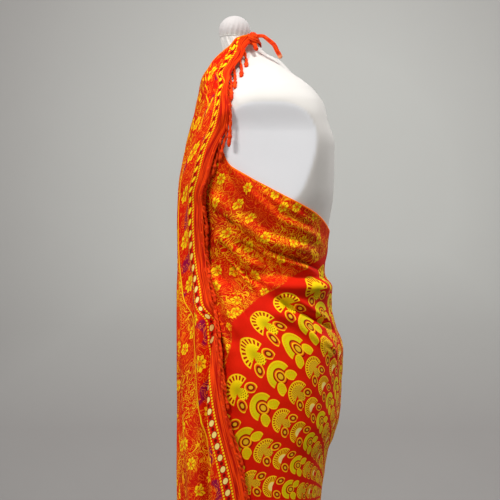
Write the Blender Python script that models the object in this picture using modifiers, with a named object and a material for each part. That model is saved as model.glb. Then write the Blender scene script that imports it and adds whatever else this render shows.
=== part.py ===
"""A fringed sarong worn as a crossed halter dress on a limbless display form with a pole stand.

Metres, +Z up, the floor at z = 0. The form faces -Y and its left side is +X.
Angles round the body are in degrees from the centre back (+Y) towards the left side (+X).
"""

import math

import bmesh
import bpy
import numpy as np

COLLECTION_NAME = "sarong_on_dress_form"

# The cloth's wall, and the gaps between the cloth, the form and the cloth beneath.
CLOTH_WALL = 0.0016
SEAM_GAP = 0.0003
REST_GAP = 0.0022
NECK_REST_GAP = 0.0006
JOIN_GAP = 0.0006
NECK_REST_FROM = 1.535

# The stand and the heights of the form.
BASE_RADIUS = 0.200
BASE_THICKNESS = 0.010
BASE_BEVEL = 0.002
POLE_RADIUS = 0.0125
SOCKET_RADIUS = 0.028
SOCKET_TOP_RADIUS = 0.017
SOCKET_HEIGHT = 0.030
TORSO_BOTTOM = 0.875
NECK_TOP = 1.583
CAP_TOP = 1.620
CAP_CENTRE_Y = -0.0655
CAP_RADIUS = 0.0275

# The centre line of the body's sections leans forward in the neck.
CENTRE_LINE_COLUMNS = ("height", "centre_y")
CENTRE_LINE = (
    (0.000, 0.000),
    (1.400, 0.000),
    (1.440, -0.004),
    (1.480, -0.012),
    (1.520, -0.028),
    (1.545, -0.045),
    (1.560, -0.052),
    (1.600, -0.066),
    (1.700, -0.066),
)

# Sections of the hard form.
FORM_COLUMNS = ("height", "half_width", "front", "back", "squareness")
FORM_SECTIONS = (
    (0.875, 0.148, 0.076, 0.090, 2.2),
    (0.890, 0.160, 0.085, 0.101, 2.2),
    (0.950, 0.172, 0.095, 0.114, 2.3),
    (1.020, 0.170, 0.103, 0.116, 2.3),
    (1.080, 0.151, 0.104, 0.104, 2.2),
    (1.170, 0.121, 0.096, 0.087, 2.2),
    (1.250, 0.140, 0.120, 0.098, 2.5),
    (1.316, 0.156, 0.144, 0.107, 2.9),
    (1.386, 0.163, 0.125, 0.108, 3.6),
    (1.431, 0.165, 0.106, 0.099, 3.8),
    (1.459, 0.160, 0.092, 0.097, 3.4),
    (1.484, 0.144, 0.077, 0.088, 2.8),
    (1.502, 0.117, 0.066, 0.076, 2.4),
    (1.520, 0.083, 0.054, 0.062, 2.2),
    (1.541, 0.047, 0.040, 0.058, 2.1),
    (1.552, 0.038, 0.036, 0.042, 2.0),
    (1.562, 0.035, 0.034, 0.035, 2.0),
    (1.583, 0.030, 0.029, 0.030, 2.0),
)

# The arms are cut off flat, each at a plane that fades out above and below.
ARM_CUT_COLUMNS = ("height", "plane_x")
ARM_CUT = (
    (1.180, 0.200),
    (1.250, 0.152),
    (1.300, 0.148),
    (1.405, 0.150),
    (1.452, 0.1605),
    (1.500, 0.175),
    (1.540, 0.200),
)

# Sections that the cloth drapes to where it stands off the form.
DRAPE_COLUMNS = ("height", "half_width", "front", "back")
DRAPE_SECTIONS = (
    (0.060, 0.166, 0.134, 0.076),
    (0.400, 0.168, 0.138, 0.072),
    (0.600, 0.172, 0.140, 0.074),
    (0.770, 0.177, 0.141, 0.080),
    (0.825, 0.179, 0.142, 0.089),
    (0.865, 0.180, 0.142, 0.096),
    (0.890, 0.181, 0.142, 0.106),
    (0.930, 0.182, 0.142, 0.117),
    (0.980, 0.181, 0.143, 0.120),
    (1.040, 0.173, 0.144, 0.123),
    (1.080, 0.161, 0.145, 0.110),
    (1.115, 0.150, 0.146, 0.103),
    (1.145, 0.140, 0.147, 0.104),
    (1.172, 0.134, 0.147, 0.0905),
    (1.210, 0.137, 0.148, 0.0955),
    (1.270, 0.146, 0.150, 0.1000),
    (1.312, 0.149, 0.149, 0.1070),
    (1.358, 0.150, 0.142, 0.1080),
    (1.407, 0.146, 0.133, 0.1050),
    (1.440, 0.138, 0.121, 0.0980),
    (1.477, 0.122, 0.108, 0.0900),
    (1.505, 0.104, 0.094, 0.0760),
    (1.530, 0.070, 0.070, 0.0600),
    (1.552, 0.046, 0.048, 0.0420),
    (1.575, 0.036, 0.037, 0.0360),
    (1.600, 0.036, 0.037, 0.0360),
)
DRAPE_SQUARENESS = 2.4
BLEND_WIDTH = 0.0015

# The upper long edge and the hem of the wrap, from the centre back to the left.
EDGE_COLUMNS = ("angle", "top_height", "hem_height")
WRAP_EDGES = (
    (0.0, 1.238, 0.105),
    (35.0, 1.251, 0.110),
    (62.0, 1.276, 0.121),
    (90.0, 1.312, 0.140),
    (112.0, 1.346, 0.170),
    (116.0, 1.358, 0.182),
    (119.0, 1.384, 0.190),
    (123.0, 1.406, 0.202),
    (133.0, 1.419, 0.235),
    (146.0, 1.425, 0.285),
)
RIGHT_SPLIT = -90.0
LEFT_SPLIT = 146.0

# The wrap's three nodes: the part round the body, and the skirt below it in two halves.
STRETCH_COLUMNS = ("name", "first_angle", "last_angle", "top_share", "bottom_share", "columns", "rows")
WRAP_STRETCHES = (
    ("sarong_back_wrap", RIGHT_SPLIT, LEFT_SPLIT, 0.0, 0.3600, 36, 22),
    ("sarong_skirt_right", RIGHT_SPLIT, 28.0, 0.3609, 1.0, 18, 11),
    ("sarong_skirt_left", 28.0, LEFT_SPLIT, 0.3609, 1.0, 18, 11),
)
SKIRT_RADIUS = 0.15

# The over panel from the knot down: its fringed short edge, and its far side,
# which is the upper long edge as far as the right armpit and then the join to the wrap.
PANEL_COLUMNS = ("edge_angle", "edge_height", "far_angle", "far_height", "pleat_share")
OVER_PANEL = (
    (-294.8, 1.5690, -293.8, 1.5815, 0.00),
    (-276.0, 1.5570, -267.0, 1.5755, 0.03),
    (-264.0, 1.5410, -247.0, 1.5620, 0.14),
    (-250.0, 1.5230, -224.0, 1.5460, 0.24),
    (-245.5, 1.5020, -208.0, 1.5270, 0.28),
    (-246.5, 1.4760, -196.0, 1.5010, 0.30),
    (-249.0, 1.4450, -181.0, 1.4660, 0.32),
    (-246.5, 1.4170, -161.0, 1.4280, 0.34),
    (-241.0, 1.3800, -137.0, 1.3880, 0.36),
    (-236.0, 1.3330, -112.0, 1.3480, 0.40),
    (-228.5, 1.2800, -90.0, 1.3120, 0.46),
    (-227.5, 1.2100, -90.0, 1.2500, 0.62),
    (-234.0, 1.1300, -90.0, 1.1650, 0.80),
    (-242.0, 1.0500, -90.0, 1.0650, 0.92),
    (-248.0, 0.9450, -90.0, 0.9300, 1.00),
    (-256.5, 0.8350, -90.0, 0.7800, 1.04),
    (-262.0, 0.7150, -90.0, 0.6000, 1.08),
    (-264.0, 0.5700, -90.0, 0.3800, 1.12),
    (-265.0, 0.4200, -90.0, 0.1400, 1.16),
)

# The under panel, which crosses beneath to the right side of the neck and round behind it.
UNDER_PANEL = (
    (405.3, 1.5705, 405.3, 1.5830, 0.10),
    (372.0, 1.5695, 373.0, 1.5845, 0.14),
    (345.0, 1.5675, 345.0, 1.5845, 0.16),
    (317.0, 1.5630, 315.0, 1.5820, 0.18),
    (290.0, 1.5520, 284.0, 1.5750, 0.20),
    (264.0, 1.5420, 249.0, 1.5650, 0.22),
    (247.0, 1.5240, 223.0, 1.5490, 0.24),
    (240.0, 1.4960, 205.0, 1.5240, 0.26),
    (237.0, 1.4620, 188.0, 1.4880, 0.28),
    (233.0, 1.4240, 168.0, 1.4550, 0.28),
    (230.0, 1.3800, 146.2, 1.4250, 0.26),
    (227.0, 1.3330, 146.2, 1.3650, 0.20),
    (225.0, 1.2700, 146.2, 1.2900, 0.20),
    (225.0, 1.1700, 146.2, 1.1750, 0.24),
    (225.0, 1.0000, 146.2, 0.9800, 0.28),
    (225.0, 0.7200, 146.2, 0.6500, 0.30),
    (225.0, 0.4300, 146.2, 0.2850, 0.30),
)

# Pleats that run down a panel, placed across it from the far side (0) to the edge (1).
PLEAT_COLUMNS = ("place", "half_width", "height")
OVER_PLEATS = (
    (0.930, 0.036, 0.012),
    (0.800, 0.048, 0.016),
    (0.690, 0.042, 0.011),
    (0.590, 0.044, 0.014),
    (0.470, 0.045, 0.012),
    (0.360, 0.045, 0.010),
    (0.240, 0.045, 0.007),
)
UNDER_PLEATS = (
    (0.850, 0.060, 0.010),
    (0.600, 0.070, 0.009),
    (0.350, 0.070, 0.008),
)
OVER_LIFT = 0.009
OVER_LIFT_FULL = 118.0
PLEATS_FULL = 125.0
EDGE_LIFT = 0.006
EDGE_LIFT_FROM = 0.82

# Folds of the wrap as seen from the left side, each through four points,
# with the height of its crest (below zero for a crease).
FOLD_COLUMNS = ("y1", "z1", "y2", "z2", "y3", "z3", "y4", "z4", "half_width", "height")
FOLDS = (
    (-0.070, 1.361, -0.042, 1.316, 0.007, 1.276, 0.087, 1.229, 0.0100, 0.0060),
    (-0.095, 1.306, -0.059, 1.278, 0.003, 1.241, 0.087, 1.199, 0.0110, 0.0100),
    (-0.106, 1.278, -0.070, 1.253, -0.018, 1.212, 0.085, 1.174, 0.0080, -0.0075),
    (-0.104, 1.263, -0.062, 1.236, -0.018, 1.199, 0.045, 1.170, 0.0100, 0.0110),
    (-0.100, 1.243, -0.052, 1.199, -0.024, 1.163, -0.011, 1.138, 0.0080, -0.0080),
    (-0.100, 1.232, -0.060, 1.188, -0.032, 1.152, -0.014, 1.124, 0.0095, 0.0100),
    (-0.101, 1.218, -0.072, 1.176, -0.046, 1.144, -0.023, 1.116, 0.0080, -0.0070),
    (-0.100, 1.197, -0.080, 1.146, -0.061, 1.100, -0.046, 1.059, 0.0130, 0.0115),
    (-0.021, 1.153, 0.036, 1.150, 0.073, 1.150, 0.096, 1.148, 0.0130, 0.0120),
    (0.002, 1.129, 0.040, 1.113, 0.073, 1.083, 0.106, 1.049, 0.0085, -0.0075),
    (-0.012, 1.114, 0.034, 1.097, 0.070, 1.068, 0.108, 1.029, 0.0140, 0.0080),
)
RIGHT_FOLD_DROP = 0.012
RIGHT_FOLD_SHARE = 0.85
FOLD_FADE_START = 0.18
FOLD_FADE_END = 0.22
FOLD_END_LOSS = 0.75
FOLDS_FADE_FROM = 130.0
FOLDS_FADE_TO = 144.0

# Flutes that the skirt falls into below the hips, placed round it from the centre back.
FLUTE_COLUMNS = ("round", "half_width", "height")
FLUTES = (
    (-0.215, 0.030, 0.012),
    (-0.150, 0.030, 0.016),
    (-0.075, 0.028, 0.012),
    (-0.005, 0.032, 0.016),
    (0.070, 0.028, 0.011),
    (0.140, 0.032, 0.017),
    (0.215, 0.030, 0.013),
    (0.285, 0.030, 0.015),
)
FLUTE_TOP = 0.93
FLUTE_FULL = 0.45

# Knotted fringe on the two short edges.
TASSEL_SPACING = 0.0220
TASSEL_LENGTH = 0.032
TASSEL_LENGTH_SPREAD = (0.85, 1.1)
TASSEL_ROOT = 0.0050
TASSEL_THICKNESS = 0.0030
TASSEL_TIP_SHARE = 0.55
TASSEL_BEND_AT = 0.45
TASSEL_SLANT = 0.22
TASSEL_SLANT_AT_UPRIGHT_EDGE = 0.75
UPRIGHT_FROM = 0.35
UPRIGHT_AT = 0.75
TASSEL_SWAY = 0.06
TASSEL_SEED = 7
OVER_FRINGE_FROM = 0.04
OVER_FRINGE_TO = 1.0
UNDER_FRINGE_FROM = 0.25
UNDER_FRINGE_TO = 0.56
EDGE_STEPS = 400
TAPE_WIDTH = 0.0040
TAPE_GAP = 0.0013
TAPE_CLEARANCE = 0.0010
WRAP_MARGIN = 0.01
SLOPE_STEP = 0.004

# The knot at the left of the nape and its two ends.
KNOT_CENTRE = (0.0370, -0.0320, 1.5771)
KNOT_SIZE = (0.0180, 0.0225, 0.0262)
KNOT_RISING_GROOVE = 0.16
KNOT_FALLING_GROOVE = 0.12
LONG_TAIL = (
    (0.0385, -0.0220, 1.5829),
    (0.0425, -0.0132, 1.5830),
    (0.0470, -0.0060, 1.5732),
    (0.0490, 0.0035, 1.5622),
    (0.0485, 0.0108, 1.5495),
    (0.0470, 0.0155, 1.5400),
)
SHORT_TAIL = (
    (0.0388, -0.0305, 1.5632),
    (0.0430, -0.0285, 1.5568),
    (0.0488, -0.0262, 1.5488),
)
TAIL_RADIUS = 0.0036

# Grid counts.
FORM_COLUMNS_ROUND = 36
OVER_GRID = (30, 28)
UNDER_GRID = (10, 28)

# Colours, roughness and metallic value.
FINISHES = {
    "printed_cloth": ((0.78, 0.12, 0.02), 0.75, 0.0),
    "plain_fringe": ((0.82, 0.06, 0.01), 0.80, 0.0),
    "form_jersey": ((0.86, 0.86, 0.85), 0.85, 0.0),
    "stand_metal": ((0.75, 0.75, 0.74), 0.35, 0.6),
}


def column(table, columns, name):
    """One named column of a table of sizes."""
    place = columns.index(name)
    return np.array([row[place] for row in table])


def smooth_through(keys, values, at):
    """A cubic through (keys, values); the slope at a key is the harmonic mean of its neighbours'."""
    step = np.diff(keys)
    rise = np.diff(values) / step
    slope = np.zeros(len(values))
    product = rise[:-1] * rise[1:]
    total = rise[:-1] + rise[1:]
    slope[1:-1] = np.where(product > 0, 2 * product / np.where(product > 0, total, 1), 0)
    slope[0] = rise[0]
    slope[-1] = rise[-1]
    at = np.clip(at, keys[0], keys[-1])
    left = np.clip(np.searchsorted(keys, at, side="right") - 1, 0, len(keys) - 2)
    t = (at - keys[left]) / step[left]
    start = (1 + 2 * t) * (1 - t) ** 2 * values[left] + t * (1 - t) ** 2 * step[left] * slope[left]
    end = t**2 * (3 - 2 * t) * values[left + 1] - t**2 * (1 - t) * step[left] * slope[left + 1]
    return start + end


def smooth_step(value, low, high):
    """0 below low, 1 above high and a smooth rise between them."""
    t = np.clip((value - low) / (high - low), 0, 1)
    return t * t * (3 - 2 * t)


def smooth_max(a, b, width):
    """The larger of two values, rounded where they meet."""
    return (a + b + np.sqrt((a - b) ** 2 + width**2)) / 2


def centre_y(z):
    """The y of the sections' centre at a height."""
    return smooth_through(
        column(CENTRE_LINE, CENTRE_LINE_COLUMNS, "height"),
        column(CENTRE_LINE, CENTRE_LINE_COLUMNS, "centre_y"),
        z,
    )


def section_radius(angle, half_width, front, back, squareness):
    """The radius of a superellipse: |sin a / width|^n + |cos a / depth|^n = 1 / r^n."""
    sine = np.abs(np.sin(np.radians(angle)))
    cosine = np.cos(np.radians(angle))
    depth = np.where(cosine > 0, back, front)
    across = (sine / half_width) ** squareness
    through = (np.abs(cosine) / depth) ** squareness
    return (across + through) ** (-1 / squareness)


def sized(table, columns, name, z):
    """A named column of a table of sections, read at any height."""
    return smooth_through(column(table, columns, "height"), column(table, columns, name), z)


def form_radius(angle, z):
    """The hard form's radius, cut flat where the arms would be."""
    round_radius = section_radius(
        angle,
        sized(FORM_SECTIONS, FORM_COLUMNS, "half_width", z),
        sized(FORM_SECTIONS, FORM_COLUMNS, "front", z),
        sized(FORM_SECTIONS, FORM_COLUMNS, "back", z),
        sized(FORM_SECTIONS, FORM_COLUMNS, "squareness", z),
    )
    plane = sized(ARM_CUT, ARM_CUT_COLUMNS, "plane_x", z)
    flat = plane / np.maximum(np.abs(np.sin(np.radians(angle))), 0.05)
    return -smooth_max(-round_radius, -flat, 0.002)


def base_radius(angle, z):
    """The cloth's inner radius with no folds: on the form, or where its own drape is wider."""
    gap = np.where(z > NECK_REST_FROM, NECK_REST_GAP, REST_GAP)
    on_form = np.where(z > TORSO_BOTTOM - 0.02, form_radius(angle, z) + gap, 0.0)
    drape = section_radius(
        angle,
        sized(DRAPE_SECTIONS, DRAPE_COLUMNS, "half_width", z),
        sized(DRAPE_SECTIONS, DRAPE_COLUMNS, "front", z),
        sized(DRAPE_SECTIONS, DRAPE_COLUMNS, "back", z),
        DRAPE_SQUARENESS,
    )
    return smooth_max(on_form, drape, BLEND_WIDTH)


LATTICE_ANGLES = np.linspace(0, 180, 91)
LATTICE_HEIGHTS = np.linspace(0.06, 1.60, 155)


def lattice_round():
    """The length along each section from the centre back, over the lattice of heights and angles."""
    angle, z = np.meshgrid(LATTICE_ANGLES, LATTICE_HEIGHTS)
    radius = base_radius(angle, z)
    x = radius * np.sin(np.radians(angle))
    y = radius * np.cos(np.radians(angle))
    steps = np.hypot(np.diff(x, axis=1), np.diff(y, axis=1))
    return np.concatenate([np.zeros((len(LATTICE_HEIGHTS), 1)), np.cumsum(steps, axis=1)], axis=1)


ROUND = lattice_round()


def length_round(angle, z):
    """The signed length round the body from the centre back, positive towards the left side."""
    across = np.clip(np.abs(angle), 0, 180) / (LATTICE_ANGLES[1] - LATTICE_ANGLES[0])
    down = (z - LATTICE_HEIGHTS[0]) / (LATTICE_HEIGHTS[1] - LATTICE_HEIGHTS[0])
    i = np.clip(down.astype(int), 0, len(LATTICE_HEIGHTS) - 2)
    j = np.clip(across.astype(int), 0, len(LATTICE_ANGLES) - 2)
    v = np.clip(down - i, 0, 1)
    u = np.clip(across - j, 0, 1)
    low = ROUND[i, j] * (1 - u) + ROUND[i, j + 1] * u
    high = ROUND[i + 1, j] * (1 - u) + ROUND[i + 1, j + 1] * u
    return np.sign(angle) * (low * (1 - v) + high * v)


def round_at_side(y, z):
    """The length round the body of the point that the left side view shows at (y, z)."""
    row = int(np.argmin(np.abs(LATTICE_HEIGHTS - z)))
    height = LATTICE_HEIGHTS[row]
    seen = centre_y(height) + base_radius(LATTICE_ANGLES, height) * np.cos(np.radians(LATTICE_ANGLES))
    return float(np.interp(-y, -seen, ROUND[row]))


def ridge(along_round, z, path, half_width, height):
    """A soft ridge along a path: height * exp(-(distance / half_width)^2), faded at both ends."""
    lengths = [math.dist(a, b) for a, b in zip(path[:-1], path[1:])]
    total = sum(lengths)
    nearest = np.full(np.shape(z), 1e9)
    place = np.zeros(np.shape(z))
    done = 0.0
    for (s1, z1), (s2, z2), length in zip(path[:-1], path[1:], lengths):
        t = ((along_round - s1) * (s2 - s1) + (z - z1) * (z2 - z1)) / length**2
        t = np.clip(t, 0, 1)
        distance = np.hypot(along_round - s1 - t * (s2 - s1), z - z1 - t * (z2 - z1))
        nearer = distance < nearest
        nearest = np.where(nearer, distance, nearest)
        place = np.where(nearer, (done + t * length) / total, place)
        done += length
    fade = smooth_step(place, 0, FOLD_FADE_START)
    fade = fade * (1 - FOLD_END_LOSS * smooth_step(place, 1 - FOLD_FADE_END, 1))
    return height * fade * np.exp(-((nearest / half_width) ** 2))


def fold_paths():
    """Each fold's path in length round the body and height, for the left and the right side."""
    paths = []
    for row in FOLDS:
        fold = dict(zip(FOLD_COLUMNS, row))
        points = [(fold[f"y{k}"], fold[f"z{k}"]) for k in (1, 2, 3, 4)]
        left = [(round_at_side(y, z), z) for y, z in points]
        right = [(-s, z - RIGHT_FOLD_DROP) for s, z in left]
        paths.append((left, fold["half_width"], fold["height"]))
        paths.append((right, fold["half_width"], fold["height"] * RIGHT_FOLD_SHARE))
    return paths


FOLD_PATHS = fold_paths()


def fold_relief(angle, z):
    """How far the folds and flutes move the wrap outwards."""
    along_round = length_round(angle, z)
    relief = np.zeros(np.shape(z))
    for path, half_width, height in FOLD_PATHS:
        relief = relief + ridge(along_round, z, path, half_width, height)
    falls = 1 - smooth_step(z, FLUTE_FULL, FLUTE_TOP)
    for row in FLUTES:
        flute = dict(zip(FLUTE_COLUMNS, row))
        reach = (along_round - flute["round"]) / flute["half_width"]
        relief = relief + flute["height"] * falls * np.exp(-(reach**2))
    return relief * (1 - smooth_step(np.abs(angle), FOLDS_FADE_FROM, FOLDS_FADE_TO))


def edge_height(name, angle):
    """The height of the wrap's upper edge or hem at an angle."""
    keys = column(WRAP_EDGES, EDGE_COLUMNS, "angle")
    return smooth_through(keys, column(WRAP_EDGES, EDGE_COLUMNS, name), np.abs(angle))


def on_body(angle, z, radius):
    """Points at an angle round the sections' centre."""
    x = radius * np.sin(np.radians(angle))
    y = centre_y(z) + radius * np.cos(np.radians(angle))
    return np.stack([x, y, z + np.zeros(np.shape(x))], axis=-1)


def clear_of_form(angle, z, radius):
    """A radius kept outside the form by the rest gap."""
    gap = np.where(z > NECK_REST_FROM, NECK_REST_GAP, REST_GAP)
    floor = np.where(z > TORSO_BOTTOM - 0.02, form_radius(angle, z) + gap, 0.02)
    return np.maximum(radius, floor)


def wrap_point(angle, z):
    """The wrap's inner surface at an angle and height."""
    return on_body(angle, z, clear_of_form(angle, z, base_radius(angle, z) + fold_relief(angle, z)))


def panel_values(table, share_down):
    """The columns of a panel's table at places from the knot (0) to the hem (1)."""
    keys = np.linspace(0, 1, len(table))
    return [smooth_through(keys, np.array(values), share_down) for values in zip(*table)]


def pleat_relief(place, pleats):
    """The sum of soft ridges h * exp(-((place - middle) / half_width)^2) across a panel."""
    relief = np.zeros(np.shape(place))
    for row in pleats:
        pleat = dict(zip(PLEAT_COLUMNS, row))
        relief = relief + pleat["height"] * np.exp(-(((place - pleat["place"]) / pleat["half_width"]) ** 2))
    return relief


def over_point(place, down):
    """The over panel: place runs from its far side (0) to its fringed edge (1), down from the knot."""
    edge_angle, edge_height, far_angle, far_height, share = panel_values(OVER_PANEL, down)
    angle = far_angle + (edge_angle - far_angle) * place
    z = far_height + (edge_height - far_height) * (0.5 * place + 0.5 * place**2)
    lift = OVER_LIFT * smooth_step(-angle, -RIGHT_SPLIT, OVER_LIFT_FULL)
    lift = lift + EDGE_LIFT * smooth_step(place, EDGE_LIFT_FROM, 1) * smooth_step(share, 0.3, 0.5)
    pleats = share * pleat_relief(place, OVER_PLEATS) * smooth_step(-angle, -RIGHT_SPLIT, PLEATS_FULL)
    beneath = np.where(angle < -180, angle + 360, angle)
    radius = base_radius(angle, z) + fold_relief(beneath, z) + lift + pleats
    return on_body(angle, z, clear_of_form(angle, z, radius))


def under_point(place, down):
    """The under panel, laid out as the over panel is, to the right side of the neck."""
    edge_angle, edge_height, far_angle, far_height, share = panel_values(UNDER_PANEL, down)
    angle = far_angle + (edge_angle - far_angle) * place
    z = far_height + (edge_height - far_height) * (0.5 * place + 0.5 * place**2)
    shown = 1 - smooth_step(down, 0.45, 0.6)
    radius = base_radius(angle, z) + share * shown * pleat_relief(place, UNDER_PLEATS)
    return on_body(angle, z, clear_of_form(angle, z, radius))


def add_collection(name):
    """A collection linked to the scene."""
    collection = bpy.data.collections.new(name)
    bpy.context.scene.collection.children.link(collection)
    return collection


def finish_material(name, finish):
    """A Principled material of a part's own."""
    colour, roughness, metallic = FINISHES[finish]
    material = bpy.data.materials.new(name + "_finish")
    material.use_nodes = True
    shader = material.node_tree.nodes["Principled BSDF"]
    shader.inputs["Base Color"].default_value = (*colour, 1)
    shader.inputs["Roughness"].default_value = roughness
    shader.inputs["Metallic"].default_value = metallic
    return material


def add_object(collection, name, mesh, finish, smooth_angle=60):
    """A named object with its own material, shaded smooth."""
    mesh.shade_smooth()
    mesh.set_sharp_from_angle(angle=math.radians(smooth_angle))
    mesh.materials.append(finish_material(name, finish))
    part = bpy.data.objects.new(name, mesh)
    collection.objects.link(part)
    return part


def grid_faces(rows, columns, closed_round=False):
    """Quads over a grid of points numbered row by row."""
    last = columns if closed_round else columns - 1
    row, place = np.meshgrid(np.arange(rows - 1), np.arange(last), indexing="ij")
    row = row.ravel()
    place = place.ravel()
    after = (place + 1) % columns
    upper = [row * columns + place, row * columns + after]
    lower = [(row + 1) * columns + after, (row + 1) * columns + place]
    return np.stack(upper + lower, axis=1)


def facing_out(points, faces):
    """The faces, turned over where most of them would face the body's axis."""
    corners = points[faces]
    normals = np.cross(corners[:, 2] - corners[:, 0], corners[:, 3] - corners[:, 1])
    middles = corners.mean(axis=1)
    away = middles * (1, 1, 0)
    return faces if (normals * away).sum() > 0 else faces[:, ::-1]


def add_cloth(collection, name, grid, finish):
    """An open surface given its wall outwards by Solidify."""
    rows, columns = grid.shape[:2]
    points = grid.reshape(-1, 3)
    faces = facing_out(points, grid_faces(rows, columns))
    mesh = bpy.data.meshes.new(name)
    mesh.from_pydata(points.tolist(), [], faces.tolist())
    mesh.update()
    part = add_object(collection, name, mesh, finish)
    wall = part.modifiers.new("wall", "SOLIDIFY")
    wall.thickness = CLOTH_WALL
    wall.offset = 1
    wall.use_even_offset = False
    return part


def build_torso(collection):
    """The hard form from hips to neck, lofted through its sections and capped at both ends."""
    heights = np.concatenate(
        [np.linspace(TORSO_BOTTOM, 1.45, 20), np.linspace(1.466, 1.56, 8), np.linspace(1.571, NECK_TOP, 2)]
    )
    angles = np.arange(FORM_COLUMNS_ROUND) * 360 / FORM_COLUMNS_ROUND
    angle, z = np.meshgrid(angles, heights)
    points = on_body(angle, z, form_radius(angle, z)).reshape(-1, 3)
    faces = facing_out(points, grid_faces(len(heights), FORM_COLUMNS_ROUND, closed_round=True))
    mesh = bpy.data.meshes.new("form_torso")
    mesh.from_pydata(points.tolist(), [], faces.tolist())
    shape = bmesh.new()
    shape.from_mesh(mesh)
    open_edges = [edge for edge in shape.edges if edge.is_boundary]
    bmesh.ops.holes_fill(shape, edges=open_edges, sides=0)
    bmesh.ops.recalc_face_normals(shape, faces=shape.faces)
    shape.to_mesh(mesh)
    shape.free()
    return add_object(collection, "form_torso", mesh, "form_jersey", 50)


def build_cap(collection):
    """The covered neck cap: a dome on the neck's top, its lower half cut off flat."""
    bottom = NECK_TOP + SEAM_GAP
    shape = bmesh.new()
    bmesh.ops.create_uvsphere(shape, u_segments=20, v_segments=10, radius=CAP_RADIUS)
    rise = CAP_TOP - bottom
    for vertex in shape.verts:
        lifted = vertex.co.z / CAP_RADIUS
        vertex.co.z = bottom + rise * (0.30 + 0.70 * lifted)
        vertex.co.y += CAP_CENTRE_Y
    below = bmesh.ops.bisect_plane(
        shape,
        geom=shape.verts[:] + shape.edges[:] + shape.faces[:],
        plane_co=(0, 0, bottom),
        plane_no=(0, 0, -1),
        clear_outer=True,
    )
    rim = [part for part in below["geom_cut"] if isinstance(part, bmesh.types.BMEdge)]
    bmesh.ops.holes_fill(shape, edges=rim, sides=0)
    bmesh.ops.recalc_face_normals(shape, faces=shape.faces)
    mesh = bpy.data.meshes.new("form_neck_cap")
    shape.to_mesh(mesh)
    shape.free()
    return add_object(collection, "form_neck_cap", mesh, "form_jersey", 50)


def build_cylinder(collection, name, radius, low, high, bevel, segments, top_radius=None):
    """A turned piece of the stand between two heights."""
    shape = bmesh.new()
    bmesh.ops.create_cone(
        shape,
        cap_ends=True,
        segments=segments,
        radius1=radius,
        radius2=radius if top_radius is None else top_radius,
        depth=high - low,
    )
    bmesh.ops.translate(shape, verts=shape.verts, vec=(0, 0, (low + high) / 2))
    mesh = bpy.data.meshes.new(name)
    shape.to_mesh(mesh)
    shape.free()
    part = add_object(collection, name, mesh, "stand_metal", 40)
    if bevel:
        rounded = part.modifiers.new("edge", "BEVEL")
        rounded.width = bevel
        rounded.segments = 2
        rounded.limit_method = "ANGLE"
    return part


def build_stand(collection):
    """The floor plate, the socket on it and the pole up into the form."""
    build_cylinder(collection, "stand_base", BASE_RADIUS, 0, BASE_THICKNESS, BASE_BEVEL, 36)
    socket_low = BASE_THICKNESS + SEAM_GAP
    socket_high = socket_low + SOCKET_HEIGHT
    build_cylinder(
        collection, "stand_socket", SOCKET_RADIUS, socket_low, socket_high, 0, 24, SOCKET_TOP_RADIUS
    )
    pole_low = socket_high + SEAM_GAP
    pole_high = TORSO_BOTTOM - SEAM_GAP
    build_cylinder(collection, "stand_pole", POLE_RADIUS, pole_low, pole_high, 0, 20)


def build_wrap(collection):
    """The stretch that goes round the back, from the right side to beneath the over panel's edge."""
    gap = math.degrees(JOIN_GAP / SKIRT_RADIUS)
    for row in WRAP_STRETCHES:
        stretch = dict(zip(STRETCH_COLUMNS, row))
        share = np.linspace(stretch["top_share"], stretch["bottom_share"], stretch["rows"] + 1)[:, None]
        first = stretch["first_angle"] + gap
        angle = np.linspace(first, stretch["last_angle"], stretch["columns"] + 1)[None, :]
        top = edge_height("top_height", angle)
        z = top + (edge_height("hem_height", angle) - top) * share
        points = wrap_point(angle + np.zeros(z.shape), z)
        add_cloth(collection, stretch["name"], points, "printed_cloth")


def panel_grid(point, counts):
    """A panel's grid of points, across its width and down from the knot."""
    place = np.linspace(0, 1, counts[0] + 1)[None, :]
    down = np.linspace(0, 1, counts[1] + 1)[:, None]
    return point(place + 0 * down, down + 0 * place)


def build_panels(collection):
    """The two ends of the cloth, which cross on the chest and tie behind the neck."""
    add_cloth(collection, "sarong_over_panel", panel_grid(over_point, OVER_GRID), "printed_cloth")
    add_cloth(collection, "sarong_under_panel", panel_grid(under_point, UNDER_GRID), "printed_cloth")


def unit(vectors):
    """Vectors of length one."""
    return vectors / np.linalg.norm(vectors, axis=-1, keepdims=True)


def push_clear(points, clearance):
    """Points moved out from the sections' centre until they clear the wrap or the form."""
    z = points[:, 2]
    x = points[:, 0]
    y = points[:, 1] - centre_y(z)
    angle = np.degrees(np.arctan2(x, y))
    beneath_wrap = z < edge_height("top_height", angle) + WRAP_MARGIN
    wrapped = beneath_wrap | (np.abs(angle) > LEFT_SPLIT)
    cloth = base_radius(angle, z) + fold_relief(angle, z) + CLOTH_WALL
    slope = (form_radius(angle, z + SLOPE_STEP) - form_radius(angle, z - SLOPE_STEP)) / (2 * SLOPE_STEP)
    slant = np.sqrt(1 + slope**2)
    floor = np.where(wrapped, cloth + clearance, form_radius(angle, z) + clearance * slant)
    radius = np.maximum(np.hypot(x, y), floor)
    return on_body(angle, z, radius)


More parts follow.
